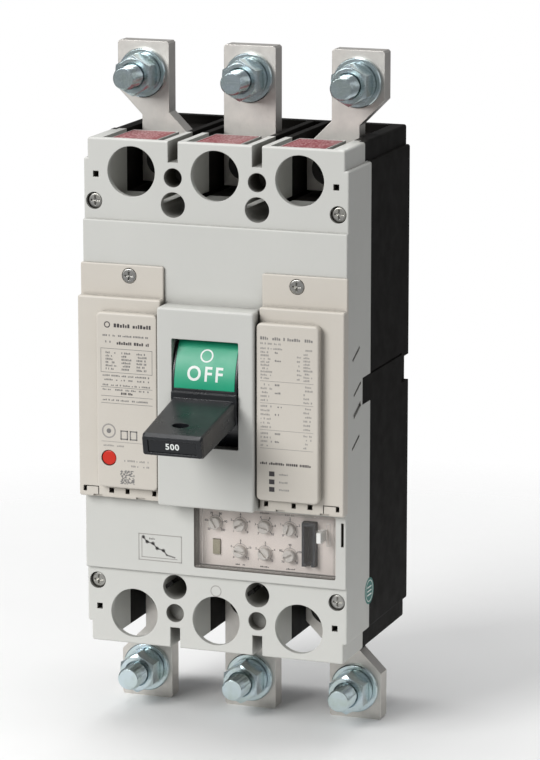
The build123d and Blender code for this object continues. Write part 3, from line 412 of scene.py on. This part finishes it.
def add_ring(bm, x, z, inner, outer, back, front, steps=40, start=0.0, turn=2 * pi):
    """Flat ring or arc facing forwards."""
    closed = turn > 2 * pi - ANGLE_SLACK
    count = steps if closed else steps + 1
    points = []
    for i in range(count):
        a = start + turn * i / steps
        for r, y in ((inner, front), (outer, front), (outer, back), (inner, back)):
            points.append((x + r * cos(a), y, z + r * sin(a)))
    faces = []
    for i in range(steps):
        j = (i + 1) % count
        faces += [(4 * i + k, 4 * i + (k + 1) % 4, 4 * j + (k + 1) % 4, 4 * j + k)
                  for k in range(4)]
    if not closed:
        faces += [(0, 1, 2, 3), tuple(4 * steps + k for k in range(4))]
    add_shape(bm, points, faces)


def add_disc(bm, x, z, radius, back, front, steps=32):
    """Flat disc facing forwards."""
    points = [(x + radius * cos(2 * pi * i / steps), y, z + radius * sin(2 * pi * i / steps))
              for y in (front, back) for i in range(steps)]
    faces = [tuple(range(steps)), tuple(range(steps, 2 * steps))]
    faces += [(i, (i + 1) % steps, steps + (i + 1) % steps, steps + i) for i in range(steps)]
    add_shape(bm, points, faces)


def add_stroke(bm, path, width, back, front):
    """Line of even width along (x, z) points, facing forwards."""
    for (xa, za), (xb, zb) in zip(path, path[1:]):
        run = Vector((xb - xa, 0, zb - za))
        side = Vector((-run.z, 0, run.x)).normalized() * width / 2
        reach = run.normalized() * width / 2
        corners = [Vector((xa, 0, za)) - reach + side, Vector((xb, 0, zb)) + reach + side,
                   Vector((xb, 0, zb)) + reach - side, Vector((xa, 0, za)) - reach - side]
        points = [(c.x, y, c.z) for y in (back, front) for c in corners]
        sides = [(i, (i + 1) % 4, 4 + (i + 1) % 4, 4 + i) for i in range(4)]
        add_shape(bm, points, [(0, 1, 2, 3), (4, 5, 6, 7)] + sides)


def add_frame(bm, x0, x1, z0, z1, width, back, front):
    """Rectangular outline facing forwards."""
    add_stroke(bm, [(x0, z0), (x1, z0), (x1, z1), (x0, z1), (x0, z0)], width, back, front)


def text_points(body, size, bold, spacing=1.0):
    """Points and faces of a text standing in X and Z, centred, its face towards -Y."""
    curve = bpy.data.curves.new("lettering", "FONT")
    curve.body, curve.size, curve.offset = body, size, bold
    curve.space_character = spacing
    curve.extrude = INK / 2
    curve.resolution_u = 4
    curve.align_x, curve.align_y = "CENTER", "CENTER"
    holder = bpy.data.objects.new("lettering", curve)
    bpy.context.scene.collection.objects.link(holder)
    bpy.context.view_layer.update()
    graph = bpy.context.evaluated_depsgraph_get()
    mesh = bpy.data.meshes.new_from_object(holder.evaluated_get(graph))
    points = [(v.co.x, -v.co.z, v.co.y) for v in mesh.vertices]
    faces = [tuple(p.vertices) for p in mesh.polygons]
    bpy.data.objects.remove(holder)
    bpy.data.curves.remove(curve)
    bpy.data.meshes.remove(mesh)
    return points, faces


def add_text(bm, body, x, z, y, size, bold):
    """Text on a plane that faces forwards; y is the surface's."""
    points, faces = text_points(body, size, bold)
    add_shape(bm, points, faces, Matrix.Translation((x, y - INK / 4, z)))


# ---- terminal hardware --------------------------------------------------------------------
BOLT_R = 6.0 * MM
THREAD_PITCH = 1.75 * MM
THREAD_DEPTH = 0.85 * MM
THREAD_RINGS = 84
BOLT_STEPS = 36              # sides of the bolt's rings
CORE_R = BOLT_R - 0.9 * MM   # shank under the nut and the chamfered end
END_SLOPE = 1.2
HEX_HALF = 9 * MM            # half the nut's width across its flats
HEX_CONE = 0.97              # the cone's radius over that half width
HEX_STEPS = 72
NUT_LIP = 0.7 * MM
WASHER_ROLL = 0.5 * MM
STUD_X = 57 * MM
STUD_Z = 155 * MM


def terminal_spots():
    """Centres of the six terminal bolts."""
    return [(sx * STUD_X, sz * STUD_Z) for sx in (-1, 0, 1) for sz in (-1, 1)]


def turned(bm, rings, x, z, closed=True):
    """Skin over rings of (x, y, z) offsets about a bolt's axis."""
    count = len(rings[0])
    points = [(x + px, y, z + pz) for ring in rings for px, y, pz in ring]
    faces = [(k * count + i, k * count + (i + 1) % count, (k + 1) * count + (i + 1) % count,
              (k + 1) * count + i) for k in range(len(rings) - 1) for i in range(count)]
    if closed:
        faces += [tuple(range(count)), tuple((len(rings) - 1) * count + i for i in range(count))]
    add_shape(bm, points, faces)


def circle(radius, y, steps=BOLT_STEPS):
    """One ring of points about the Y axis."""
    angles = [2 * pi * i / steps for i in range(steps)]
    return [(radius * cos(a), y, radius * sin(a)) for a in angles]


def thread_ring(y, start, end):
    """One ring of a screw thread, with the bolt's chamfered end."""
    ring = []
    for i in range(BOLT_STEPS):
        a = 2 * pi * i / BOLT_STEPS
        turn = ((start - y) / THREAD_PITCH - i / BOLT_STEPS) % 1.0
        radius = BOLT_R - THREAD_DEPTH * abs(2 * turn - 1)
        radius = min(radius, CORE_R + (y - end) * END_SLOPE)
        ring.append((radius * cos(a), y, radius * sin(a)))
    return ring


def add_bolt(bm, x, z, back, front):
    """Bolt with a chamfered hexagon head behind the bar and a threaded free end."""
    bar_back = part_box("line_bar_left")[1].y
    thread_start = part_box("terminal_nuts")[1].y
    rings = [circle(CORE_R, bar_back), circle(CORE_R, thread_start)]
    length = thread_start - front
    rings += [thread_ring(thread_start - length * i / THREAD_RINGS, thread_start, front)
              for i in range(THREAD_RINGS + 1)]
    turned(bm, rings, x, z)
    add_hexagon(bm, x, z, back, bar_back)


def hexagon_ring(limit, y_edge, slope):
    """Hexagon outline, cut back by a cone where it is further out than limit."""
    ring = []
    for i in range(HEX_STEPS):
        a = 2 * pi * i / HEX_STEPS
        off = (a + pi / 6) % (pi / 3) - pi / 6
        radius = HEX_HALF / cos(off)
        ring.append((radius * cos(a), y_edge + slope * max(0.0, radius - limit), radius * sin(a)))
    return ring


def add_hexagon(bm, x, z, back, front, bore=None):
    """Hexagon nut, or head if it has no bore, with both ends turned to a cone."""
    chamfer = tan(radians(30))
    limit = HEX_HALF * HEX_CONE
    outer = [circle(limit, front, HEX_STEPS), hexagon_ring(limit, front, chamfer),
             hexagon_ring(limit, back, -chamfer), circle(limit, back, HEX_STEPS)]
    if bore is None:
        turned(bm, outer, x, z)
        return
    stations = ((bore + NUT_LIP, back), (bore, back - NUT_LIP), (bore, front + NUT_LIP),
                (bore + NUT_LIP, front))
    inner = [circle(radius, y, HEX_STEPS) for radius, y in stations]
    turned(bm, outer + inner + [outer[0]], x, z, closed=False)


def add_washer(bm, x, z, back, front, outer, inner):
    """Stamped flat washer, its outer edge rolled over in front."""
    stations = ((inner, front), (outer - WASHER_ROLL, front), (outer, front + WASHER_ROLL),
                (outer, back), (inner, back), (inner, front))
    turned(bm, [circle(radius, y, 60) for radius, y in stations], x, z, closed=False)


def add_spring_washer(bm, x, z, back, front, outer, inner):
    """Split helical washer of square wire."""
    steps, gap, rise = 60, radians(8), 0.7 * MM
    points, faces = [], []
    for i in range(steps + 1):
        a = pi / 2 + gap / 2 + (2 * pi - gap) * i / steps
        shift = rise * i / steps
        for r, y in ((inner, back - shift), (outer, back - shift), (outer, front + rise - shift),
                     (inner, front + rise - shift)):
            points.append((x + r * cos(a), y, z + r * sin(a)))
        if i:
            faces += [(4 * i - 4 + k, 4 * i - 4 + (k + 1) % 4, 4 * i + (k + 1) % 4, 4 * i + k)
                      for k in range(4)]
    faces += [(0, 1, 2, 3), tuple(4 * steps + k for k in range(4))]
    add_shape(bm, points, faces)


def make_terminal_hardware():
    """Bolts, washers and nuts on the six bars."""
    rows = {
        "bolt_set": ("terminal_bolts", add_bolt, ()),
        "flat_washer_set": ("terminal_flat_washers", add_washer, (12.5 * MM, 6.4 * MM)),
        "spring_washer_set": ("terminal_spring_washers", add_spring_washer, (10.2 * MM, 6.3 * MM)),
        "nut_set": ("terminal_nuts", add_hexagon, (BOLT_R + 0.05 * MM,)),
    }
    for name, (node, add, radii) in rows.items():
        low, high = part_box(node)
        bm = bmesh.new()
        for x, z in terminal_spots():
            add(bm, x, z, high.y, low.y, *radii)
        piece(name, bm, MATERIALS["zinc"], "casing", smooth=True, replaces=[node])


# ---- printing on the accessory covers -----------------------------------------------------
def add_words(bm, rng, x0, x1, z, height, y, fill=0.85, letter=0.55 * MM):
    """Row of letter-sized marks in word-like groups, unreadable on purpose."""
    x = x0
    while x < x1 - letter:
        for _ in range(rng.randint(3, 8)):
            width = letter * rng.uniform(0.7, 1.3)
            if x + width > x1:
                break
            tall = height * rng.choice((1.0, 1.0, 0.72))
            if rng.random() < fill:
                add_slab(bm, x, x + width, z - height / 2, z - height / 2 + tall, y, y - INK)
            x += width + letter * 0.45
        x += letter * 1.3


def add_column(bm, rng, x0, x1, z_top, z_end, rows, height, y):
    """Rows of words of uneven length."""
    for i in range(rows):
        z = z_top + (z_end - z_top) * i / max(1, rows - 1)
        add_words(bm, rng, x0, x0 + (x1 - x0) * rng.uniform(0.7, 1.0), z, height, y)


def panel_surface(side):
    """The y of a lid's label panel."""
    return front_of(f"{side}_accessory_cover")


def make_left_print():
    """Rating table, marks and notes on the left lid."""
    y = panel_surface("left")
    rng = random.Random(11)
    grey, dark, pale = bmesh.new(), bmesh.new(), bmesh.new()
    left, right = -55.8 * MM, -28.6 * MM
    add_ring(dark, left + 3.4 * MM, 37.6 * MM, 1.1 * MM, 1.6 * MM, y, y - INK)
    add_words(dark, rng, left + 7 * MM, right, 37.4 * MM, 1.9 * MM, y, 1.0, 1.0 * MM)
    add_words(grey, rng, left + 1 * MM, right - 2 * MM, 32.2 * MM, 0.9 * MM, y)
    add_words(grey, rng, left + 1 * MM, left + 6 * MM, 29.0 * MM, 1.0 * MM, y)
    add_words(dark, rng, left + 8.5 * MM, right, 28.6 * MM, 1.5 * MM, y, 0.95, 0.8 * MM)
    add_frame(grey, left, right, 13.6 * MM, 25.6 * MM, 0.22 * MM, y, y - INK)
    for x0, x1 in ((2.5, 8.4), (11.0, 16.5), (19.0, 25.5)):
        add_column(grey, rng, left + x0 * MM, left + x1 * MM, 23.6 * MM, 15.4 * MM, 6, 0.95 * MM, y)
    for z in (12.0, 9.9, 7.2, 4.9, -0.4):
        add_words(grey, rng, left + 0.8 * MM, right - 1 * MM, z * MM, 0.8 * MM, y, 0.8)
    for z in (6.1, 1.6, -2.0):
        add_stroke(grey, [(left, z * MM), (right, z * MM)], 0.2 * MM, y, y - INK)
    add_words(dark, rng, left + 10.6 * MM, left + 18.5 * MM, 3.2 * MM, 1.1 * MM, y)
    make_marks(grey, pale, rng, left, right, y)
    piece("left_print_grey", grey, MATERIALS["grey_ink"], "casing")
    piece("left_print_dark", dark, MATERIALS["dark_ink"], "casing")
    piece("left_print_pale", pale, MATERIALS["pale_ink"], "casing")


def make_marks(grey, pale, rng, left, right, y):
    """Plain round and square marks, notes and a field of small squares under the table."""
    add_ring(pale, left + 3.9 * MM, -16.2 * MM, 3.0 * MM, 3.7 * MM, y, y - INK)
    add_disc(grey, left + 3.9 * MM, -16.2 * MM, 1.2 * MM, y, y - INK)
    for x in (10.4, 15.4):
        add_frame(grey, left + x * MM, left + (x + 3.4) * MM, -19.9 * MM, -15.8 * MM, 0.6 * MM,
                  y, y - INK)
    add_stroke(pale, [(left, -21.6 * MM), (right, -21.6 * MM)], 0.2 * MM, y, y - INK)
    add_words(pale, rng, left + 1 * MM, left + 13 * MM, -23.6 * MM, 0.8 * MM, y)
    add_words(pale, rng, left + 12 * MM, right - 1 * MM, -30.8 * MM, 0.9 * MM, y)
    add_words(pale, rng, left + 15 * MM, right - 1 * MM, -33.4 * MM, 0.9 * MM, y)
    cell = 0.5 * MM
    for i in range(15):
        for k in range(14):
            if rng.random() < 0.55:
                x, z = left + 9.9 * MM + i * cell, -42.8 * MM + k * cell
                add_slab(grey, x, x + cell, z, z + cell, y, y - INK)


def make_right_print():
    """Setting table, heading and three black squares on the right lid."""
    y = panel_surface("right")
    rng = random.Random(23)
    grey, dark, pale = bmesh.new(), bmesh.new(), bmesh.new()
    left, right = 28.2 * MM, 55.6 * MM
    add_words(grey, rng, left, right, 36.4 * MM, 1.5 * MM, y, 0.9, 0.8 * MM)
    for z in (33.8, 31.4):
        add_words(pale, rng, left, left + 12 * MM, z * MM, 0.9 * MM, y)
    add_words(pale, rng, right - 4 * MM, right, 31.6 * MM, 0.9 * MM, y)
    blocks = ((29.5, 16.6, 9), (13.4, 5.6, 5), (2.6, -7.8, 6), (-11.0, -17.0, 4))
    for top, end, rows in blocks:
        add_column(pale, rng, left + 0.2 * MM, left + 6.6 * MM, top * MM, end * MM, rows,
                   0.9 * MM, y)
        add_column(pale, rng, right - 5 * MM, right, top * MM, end * MM, rows, 0.9 * MM, y)
        add_column(grey, rng, left + 7.6 * MM, left + 11.5 * MM, top * MM, (top - 4) * MM, 2,
                   0.9 * MM, y)
        level = (end - 1.5) * MM
        add_stroke(pale, [(left, level), (right, level)], 0.2 * MM, y, y - INK)
    add_column(pale, rng, left + 19 * MM, left + 21.5 * MM, 28 * MM, 17 * MM, 6, 0.9 * MM, y)
    add_words(dark, rng, left, right, -26.0 * MM, 1.2 * MM, y, 1.0, 0.7 * MM)
    for z in (-31.2, -35.2, -39.0):
        add_slab(dark, left + 4.6 * MM, left + 7.4 * MM, (z - 1.2) * MM, (z + 1.2) * MM, y, y - INK)
        add_words(pale, rng, left + 9.8 * MM, left + 15 * MM, z * MM, 0.9 * MM, y)
    piece("right_print_grey", grey, MATERIALS["grey_ink"], "casing")
    piece("right_print_dark", dark, MATERIALS["dark_ink"], "casing")
    piece("right_print_pale", pale, MATERIALS["pale_ink"], "casing")


# ---- labels on the casing -----------------------------------------------------------------
def make_terminal_labels():
    """Rose label with greyed rows on each tongue above the line chambers."""
    low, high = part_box("front_cover")
    top = high.z - 0.3 * MM
    front, back = low.y + 17 * MM, low.y + 46.5 * MM
    paper, marks = bmesh.new(), bmesh.new()
    rng = random.Random(5)
    for x in (-POLE_PITCH, 0.0, POLE_PITCH):
        half = 11.4 * MM
        points = [(x + sx * half, y, z) for z in (top - 0.02 * MM, top + PAPER)
                  for y in (front, back) for sx in (-1, 1)]
        add_shape(paper, points, SLAB_FACES)
        middle = Matrix.Translation((x, (front + back) / 2, top + PAPER))
        turn = middle @ Matrix.Rotation(-pi / 2, 4, "X")
        rows = bmesh.new()
        for i in range(7):
            add_words(rows, rng, -9.5 * MM, 9.5 * MM, (12 - 4 * i) * MM, 1.5 * MM, 0.0, 0.95,
                      1.1 * MM)
        rows.transform(turn)
        join(marks, rows)
    piece("terminal_labels", paper, MATERIALS["rose"], "casing")
    piece("terminal_label_print", marks, MATERIALS["rose_print"], "casing")


def join(target, source):
    """Add one bmesh to another."""
    mesh = bpy.data.meshes.new("part")
    source.to_mesh(mesh)
    source.free()
    target.from_mesh(mesh)
    bpy.data.meshes.remove(mesh)


def make_seam_sticker():
    """Round inspection sticker over the seam on the right side."""
    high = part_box("front_cover")[1]
    bm, ring = bmesh.new(), bmesh.new()
    seam = Matrix.Translation((high.x - 0.02 * MM, high.y, -99.0 * MM))
    side = seam @ Matrix.Rotation(pi / 2, 4, "Z")
    add_disc(bm, 0, 0, 6.8 * MM, 0, -PAPER)
    add_ring(ring, 0, 0, 5.2 * MM, 5.6 * MM, -PAPER, -PAPER - INK)
    for z in (-2.0, 0.0, 2.0):
        add_slab(ring, -3.2 * MM, 3.2 * MM, (z - 0.35) * MM, (z + 0.35) * MM, -PAPER, -PAPER - INK)
    bm.transform(side)
    ring.transform(side)
    piece("seam_sticker", bm, MATERIALS["teal"], "casing")
    piece("seam_sticker_print", ring, MATERIALS["white_ink"], "casing")


def make_curve_pictogram():
    """Trip curve in a frame, left of the settings."""
    y = front_of_middle()
    bm, frame_lines = bmesh.new(), bmesh.new()
    x0, x1, z0, z1 = -40.5 * MM, -17.6 * MM, -83.6 * MM, -70.2 * MM
    add_frame(frame_lines, x0, x1, z0, z1, 0.4 * MM, y, y - INK)
    add_stroke(frame_lines, [(x0 + 1.6 * MM, z1 - 2.2 * MM), (x0 + 1.6 * MM, z0 + 1.5 * MM),
                             (x1 - 2.4 * MM, z0 + 1.5 * MM)], 0.35 * MM, y, y - INK)
    steps = ((2.4, 1.6), (4.4, 4.0), (7.6, 4.6), (9.8, 7.0), (13.2, 7.8), (15.0, 10.0),
             (19.2, 11.0))
    path = [(x0 + across * MM, z1 - down * MM) for across, down in steps]
    add_stroke(bm, path, 0.75 * MM, y, y - INK)
    for x, z in path[:5]:
        add_disc(bm, x, z, 0.95 * MM, y, y - INK, 20)
    add_words(bm, random.Random(3), x0 + 5.6 * MM, x0 + 9.6 * MM, z1 - 2.2 * MM, 0.9 * MM, y)
    piece("trip_curve_print", bm, MATERIALS["grey_ink"], "casing")
    piece("trip_curve_frame", frame_lines, MATERIALS["pale_ink"], "casing")


def make_load_mark():
    """Thin plain ring between the lower wells."""
    bm = bmesh.new()
    y = front_of("front_cover") + 14.5 * MM
    add_ring(bm, 0.0, -97 * MM, 2.5 * MM, 2.9 * MM, y, y - INK)
    piece("load_mark", bm, MATERIALS["pale_ink"], "casing")


def front_of_middle():
    """The y of the front cover's middle zones."""
    return front_of("front_cover") + 12.5 * MM


# ---- printing on the settings -------------------------------------------------------------
DIAL_MARKS = {
    "rated_current": ("50", "60", "70", "80", "90", "100"),
    "long_time": ("1", "2", "4", "6", "8"),
    "short_pickup": ("2", "3", "4", "6", "8", "10"),
    "short_time": ("0", "1", "2", "3", "4"),
    "instantaneous": ("4", "6", "8", "10", "12"),
    "ground_fault": ("1", "2", "3", "4", "0"),
    "pre_alarm": ("70", "80", "90", "100", "0"),
}
SWEEP = radians(270)
SCALE_START = radians(225)
LOWER_ROW = -70 * MM         # dials below this height have their caption underneath


def make_dial_scales():
    """Ticks, arcs and numbers round each setting dial."""
    y = front_of("setting_faceplate")
    fine, dark = bmesh.new(), bmesh.new()
    rng = random.Random(8)
    for name, labels in DIAL_MARKS.items():
        low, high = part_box(f"dial_{name}")
        x, z = (low.x + high.x) / 2, (low.z + high.z) / 2
        radius = (high.x - low.x) / 2
        add_ring(fine, x, z, radius + 0.5 * MM, radius + 0.75 * MM, y, y - INK, 32,
                 SCALE_START - SWEEP, SWEEP)
        for i, label in enumerate(labels):
            a = SCALE_START - SWEEP * i / (len(labels) - 1)
            reach = [radius + k * MM for k in (0.5, 1.3)]
            tick = [(x + r * cos(a), z + r * sin(a)) for r in reach]
            add_stroke(dark, tick, 0.3 * MM, y, y - INK)
            add_text(dark, label, x + (radius + 2.2 * MM) * cos(a),
                     z + (radius + 2.1 * MM) * sin(a), y, 1.6 * MM, 0.03 * MM)
        caption = z + 6.9 * MM - 14.0 * MM * (z < LOWER_ROW)
        add_words(dark, rng, x - 2.6 * MM, x + 2.6 * MM, caption, 0.7 * MM, y)
    piece("dial_scales", fine, MATERIALS["pale_ink"], "casing")
    piece("dial_numbers", dark, MATERIALS["dark_ink"], "casing")


# ---- printing on the handle ---------------------------------------------------------------
REST_ANGLE = radians(11)     # the lever points this far below the horizontal


def flag_place(node):
    """A flag's outer radius about the handle's pivot, and its lower and upper edge's angles."""
    pivot = joint_place("handle_toggle")
    mesh = frame["nodes"][node].data
    spots = [(-(v.co.y - pivot.y), v.co.z - pivot.z) for v in mesh.vertices]
    radius = max((d * d + h * h) ** 0.5 for d, h in spots)
    angles = [atan2(h, d) for d, h in spots if (d * d + h * h) ** 0.5 > radius - 0.3 * MM]
    return pivot, radius, min(angles), max(angles)


def add_wrapped(bm, points, faces, pivot, radius, angle):
    """Bend a flat print, in X and Z and facing -Y, round the handle's pivot at an angle."""
    part = bmesh.new()
    add_shape(part, points, faces)
    step = 0.5 * MM
    heights = [z for _, _, z in points]
    level, top = min(heights) + step, max(heights)
    while level < top:
        everything = part.verts[:] + part.edges[:] + part.faces[:]
        bmesh.ops.bisect_plane(part, geom=everything, plane_co=(0, 0, level), plane_no=(0, 0, 1))
        level += step
    for v in part.verts:
        a, r = angle + v.co.z / radius, radius - v.co.y
        v.co = Vector((v.co.x, pivot.y - r * cos(a), pivot.z + r * sin(a)))
    join(bm, part)


def ring_points(outer, inner):
    """Flat ring in X and Z."""
    bm = bmesh.new()
    add_ring(bm, 0, 0, inner, outer, INK / 2, -INK / 2)
    bm.verts.index_update()
    points = [tuple(v.co) for v in bm.verts]
    faces = [tuple(v.index for v in f.verts) for f in bm.faces]
    bm.free()
    return points, faces


def slab_points(width, height):
    """Flat rectangle in X and Z."""
    x, z, y = width / 2, height / 2, INK / 2
    points = [(sx * x, sy * y, sz * z) for sy in (1, -1) for sz in (-1, 1) for sx in (-1, 1)]
    return points, SLAB_FACES


def make_flag_prints():
    """Ring and OFF on the green flag, bar and ON on the red one."""
    bm = bmesh.new()
    pivot, radius, low, high = flag_place("off_flag")
    points, faces = text_points("OFF", 10.2 * MM, 0.2 * MM, 1.3)
    points = [(x * 0.9, y, z) for x, y, z in points]
    add_wrapped(bm, points, faces, pivot, radius, low + 0.27 * (high - low))
    add_wrapped(bm, *ring_points(3.4 * MM, 2.6 * MM), pivot, radius, low + 0.62 * (high - low))
    piece("off_flag_print", bm, MATERIALS["white_ink"], "handle")
    bm = bmesh.new()
    pivot, radius, low, high = flag_place("on_flag")
    points, faces = text_points("ON", 10.2 * MM, 0.2 * MM, 1.3)
    add_wrapped(bm, points, faces, pivot, radius, low + 0.62 * (high - low))
    add_wrapped(bm, *slab_points(0.9 * MM, 4.6 * MM), pivot, radius, low + 0.2 * (high - low))
    piece("on_flag_print", bm, MATERIALS["white_ink"], "handle")


def make_rating_digits():
    """Frame rating on the plate in the lever's nose."""
    low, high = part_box("rating_plate")
    centre = (low + high) / 2
    bm = bmesh.new()
    points, faces = text_points("500", 4.3 * MM, 0.10 * MM, 1.1)
    thick = 0.35 * MM + INK / 2
    tilt = Matrix.Translation(centre) @ Matrix.Rotation(REST_ANGLE, 4, "X")
    add_shape(bm, [(x * 1.05, y - thick, z) for x, y, z in points], faces, tilt)
    piece("rating_digits", bm, MATERIALS["white_ink"], "handle")


# ---- stage --------------------------------------------------------------------------------
CAMERA_AZIMUTH = radians(20)
CAMERA_ELEVATION = radians(12)
CAMERA_DISTANCE = 1.9
CAMERA_LENS = 178.9
LOOK_RIGHT, LOOK_UP = 14.68 * MM, 3.58 * MM


def view_directions():
    """The camera's forward, right and up."""
    a, e = CAMERA_AZIMUTH, CAMERA_ELEVATION
    forward = Vector((-sin(a) * cos(e), cos(a) * cos(e), -sin(e)))
    right = Vector((cos(a), sin(a), 0))
    return forward, right, right.cross(forward)


def make_camera():
    """Long lens, slightly right of and above the breaker."""
    forward, right, up = view_directions()
    target = Vector((0, -60 * MM, 0)) + right * LOOK_RIGHT + up * LOOK_UP
    data = bpy.data.cameras.new("camera")
    data.lens, data.sensor_width = CAMERA_LENS, 36
    data.clip_start, data.clip_end = 0.05, 50
    camera = bpy.data.objects.new("camera", data)
    bpy.context.scene.collection.objects.link(camera)
    camera.location = target - forward * CAMERA_DISTANCE
    camera.rotation_euler = forward.to_track_quat("-Z", "Y").to_euler()
    bpy.context.scene.camera = camera


def floor_paint():
    """White paint whose outer part melts into the backdrop."""
    s = Shader("floor_paint")
    length = s.add("ShaderNodeVectorMath", operation="LENGTH")
    s.link(s.places, length.inputs[0])
    s.link(s.ranged(length.outputs["Value"], 1.0, 0.0, 0.22, 0.55), s.surface.inputs["Alpha"])
    s.surface.inputs["Base Color"].default_value = srgb(250, 250, 249)
    s.surface.inputs["Specular IOR Level"].default_value = 0.2
    s.link(s.ranged(s.noise(40 * MM), 0.6, 0.75), s.surface.inputs["Roughness"])
    s.link(s.bump(s.noise(2 * MM), 0.02 * MM), s.surface.inputs["Normal"])
    return s.material


def make_floor():
    """Pale floor under the lower terminal bars."""
    size, level = 3.0, CAD_LOW.z
    bm = bmesh.new()
    corners = ((-size, -size), (size, -size), (size, size), (-size, size))
    add_shape(bm, [(x, y, level) for x, y in corners], [(0, 1, 2, 3)])
    mesh = bpy.data.meshes.new("floor")
    bm.to_mesh(mesh)
    bm.free()
    floor = bpy.data.objects.new("floor", mesh)
    bpy.context.scene.collection.objects.link(floor)
    mesh.materials.append(floor_paint())


LIGHT_AIM = Vector((0, -0.05, 0))


def add_light(name, place, size, power):
    """Soft square light aimed at the breaker."""
    data = bpy.data.lights.new(name, "AREA")
    data.shape, data.size, data.energy = "SQUARE", size, power
    light = bpy.data.objects.new(name, data)
    bpy.context.scene.collection.objects.link(light)
    light.location = place
    light.rotation_euler = (LIGHT_AIM - Vector(place)).to_track_quat("-Z", "Y").to_euler()


def make_world():
    """Soft even surround, seen by the camera as a white backdrop."""
    world = bpy.data.worlds.new("studio")
    world.use_nodes = True
    nodes, links = world.node_tree.nodes, world.node_tree.links
    surround = nodes["Background"]
    surround.inputs["Color"].default_value = (0.97, 0.98, 1.0, 1.0)
    surround.inputs["Strength"].default_value = 0.28
    backdrop = nodes.new("ShaderNodeBackground")
    backdrop.inputs["Color"].default_value = (1.0, 1.0, 1.0, 1.0)
    ray, mix = nodes.new("ShaderNodeLightPath"), nodes.new("ShaderNodeMixShader")
    links.new(ray.outputs["Is Camera Ray"], mix.inputs["Fac"])
    links.new(surround.outputs["Background"], mix.inputs[1])
    links.new(backdrop.outputs["Background"], mix.inputs[2])
    links.new(mix.outputs["Shader"], nodes["World Output"].inputs["Surface"])
    bpy.context.scene.world = world


def make_lights():
    """Large key from the front left, light from above and a weak fill from the right."""
    add_light("key", (-0.9, -1.5, 0.9), 1.0, 30)
    add_light("top", (-0.1, 0.1, 1.4), 0.9, 11)
    add_light("fill", (1.3, -0.8, 0.5), 1.0, 1.5)
    bpy.context.scene.view_settings.view_transform = "Standard"


dress_nodes()
make_terminal_hardware()
make_left_print()
make_right_print()
make_terminal_labels()
make_seam_sticker()
make_curve_pictogram()
make_load_mark()
make_dial_scales()
make_flag_prints()
make_rating_digits()
make_floor()
make_world()
make_lights()
make_camera()
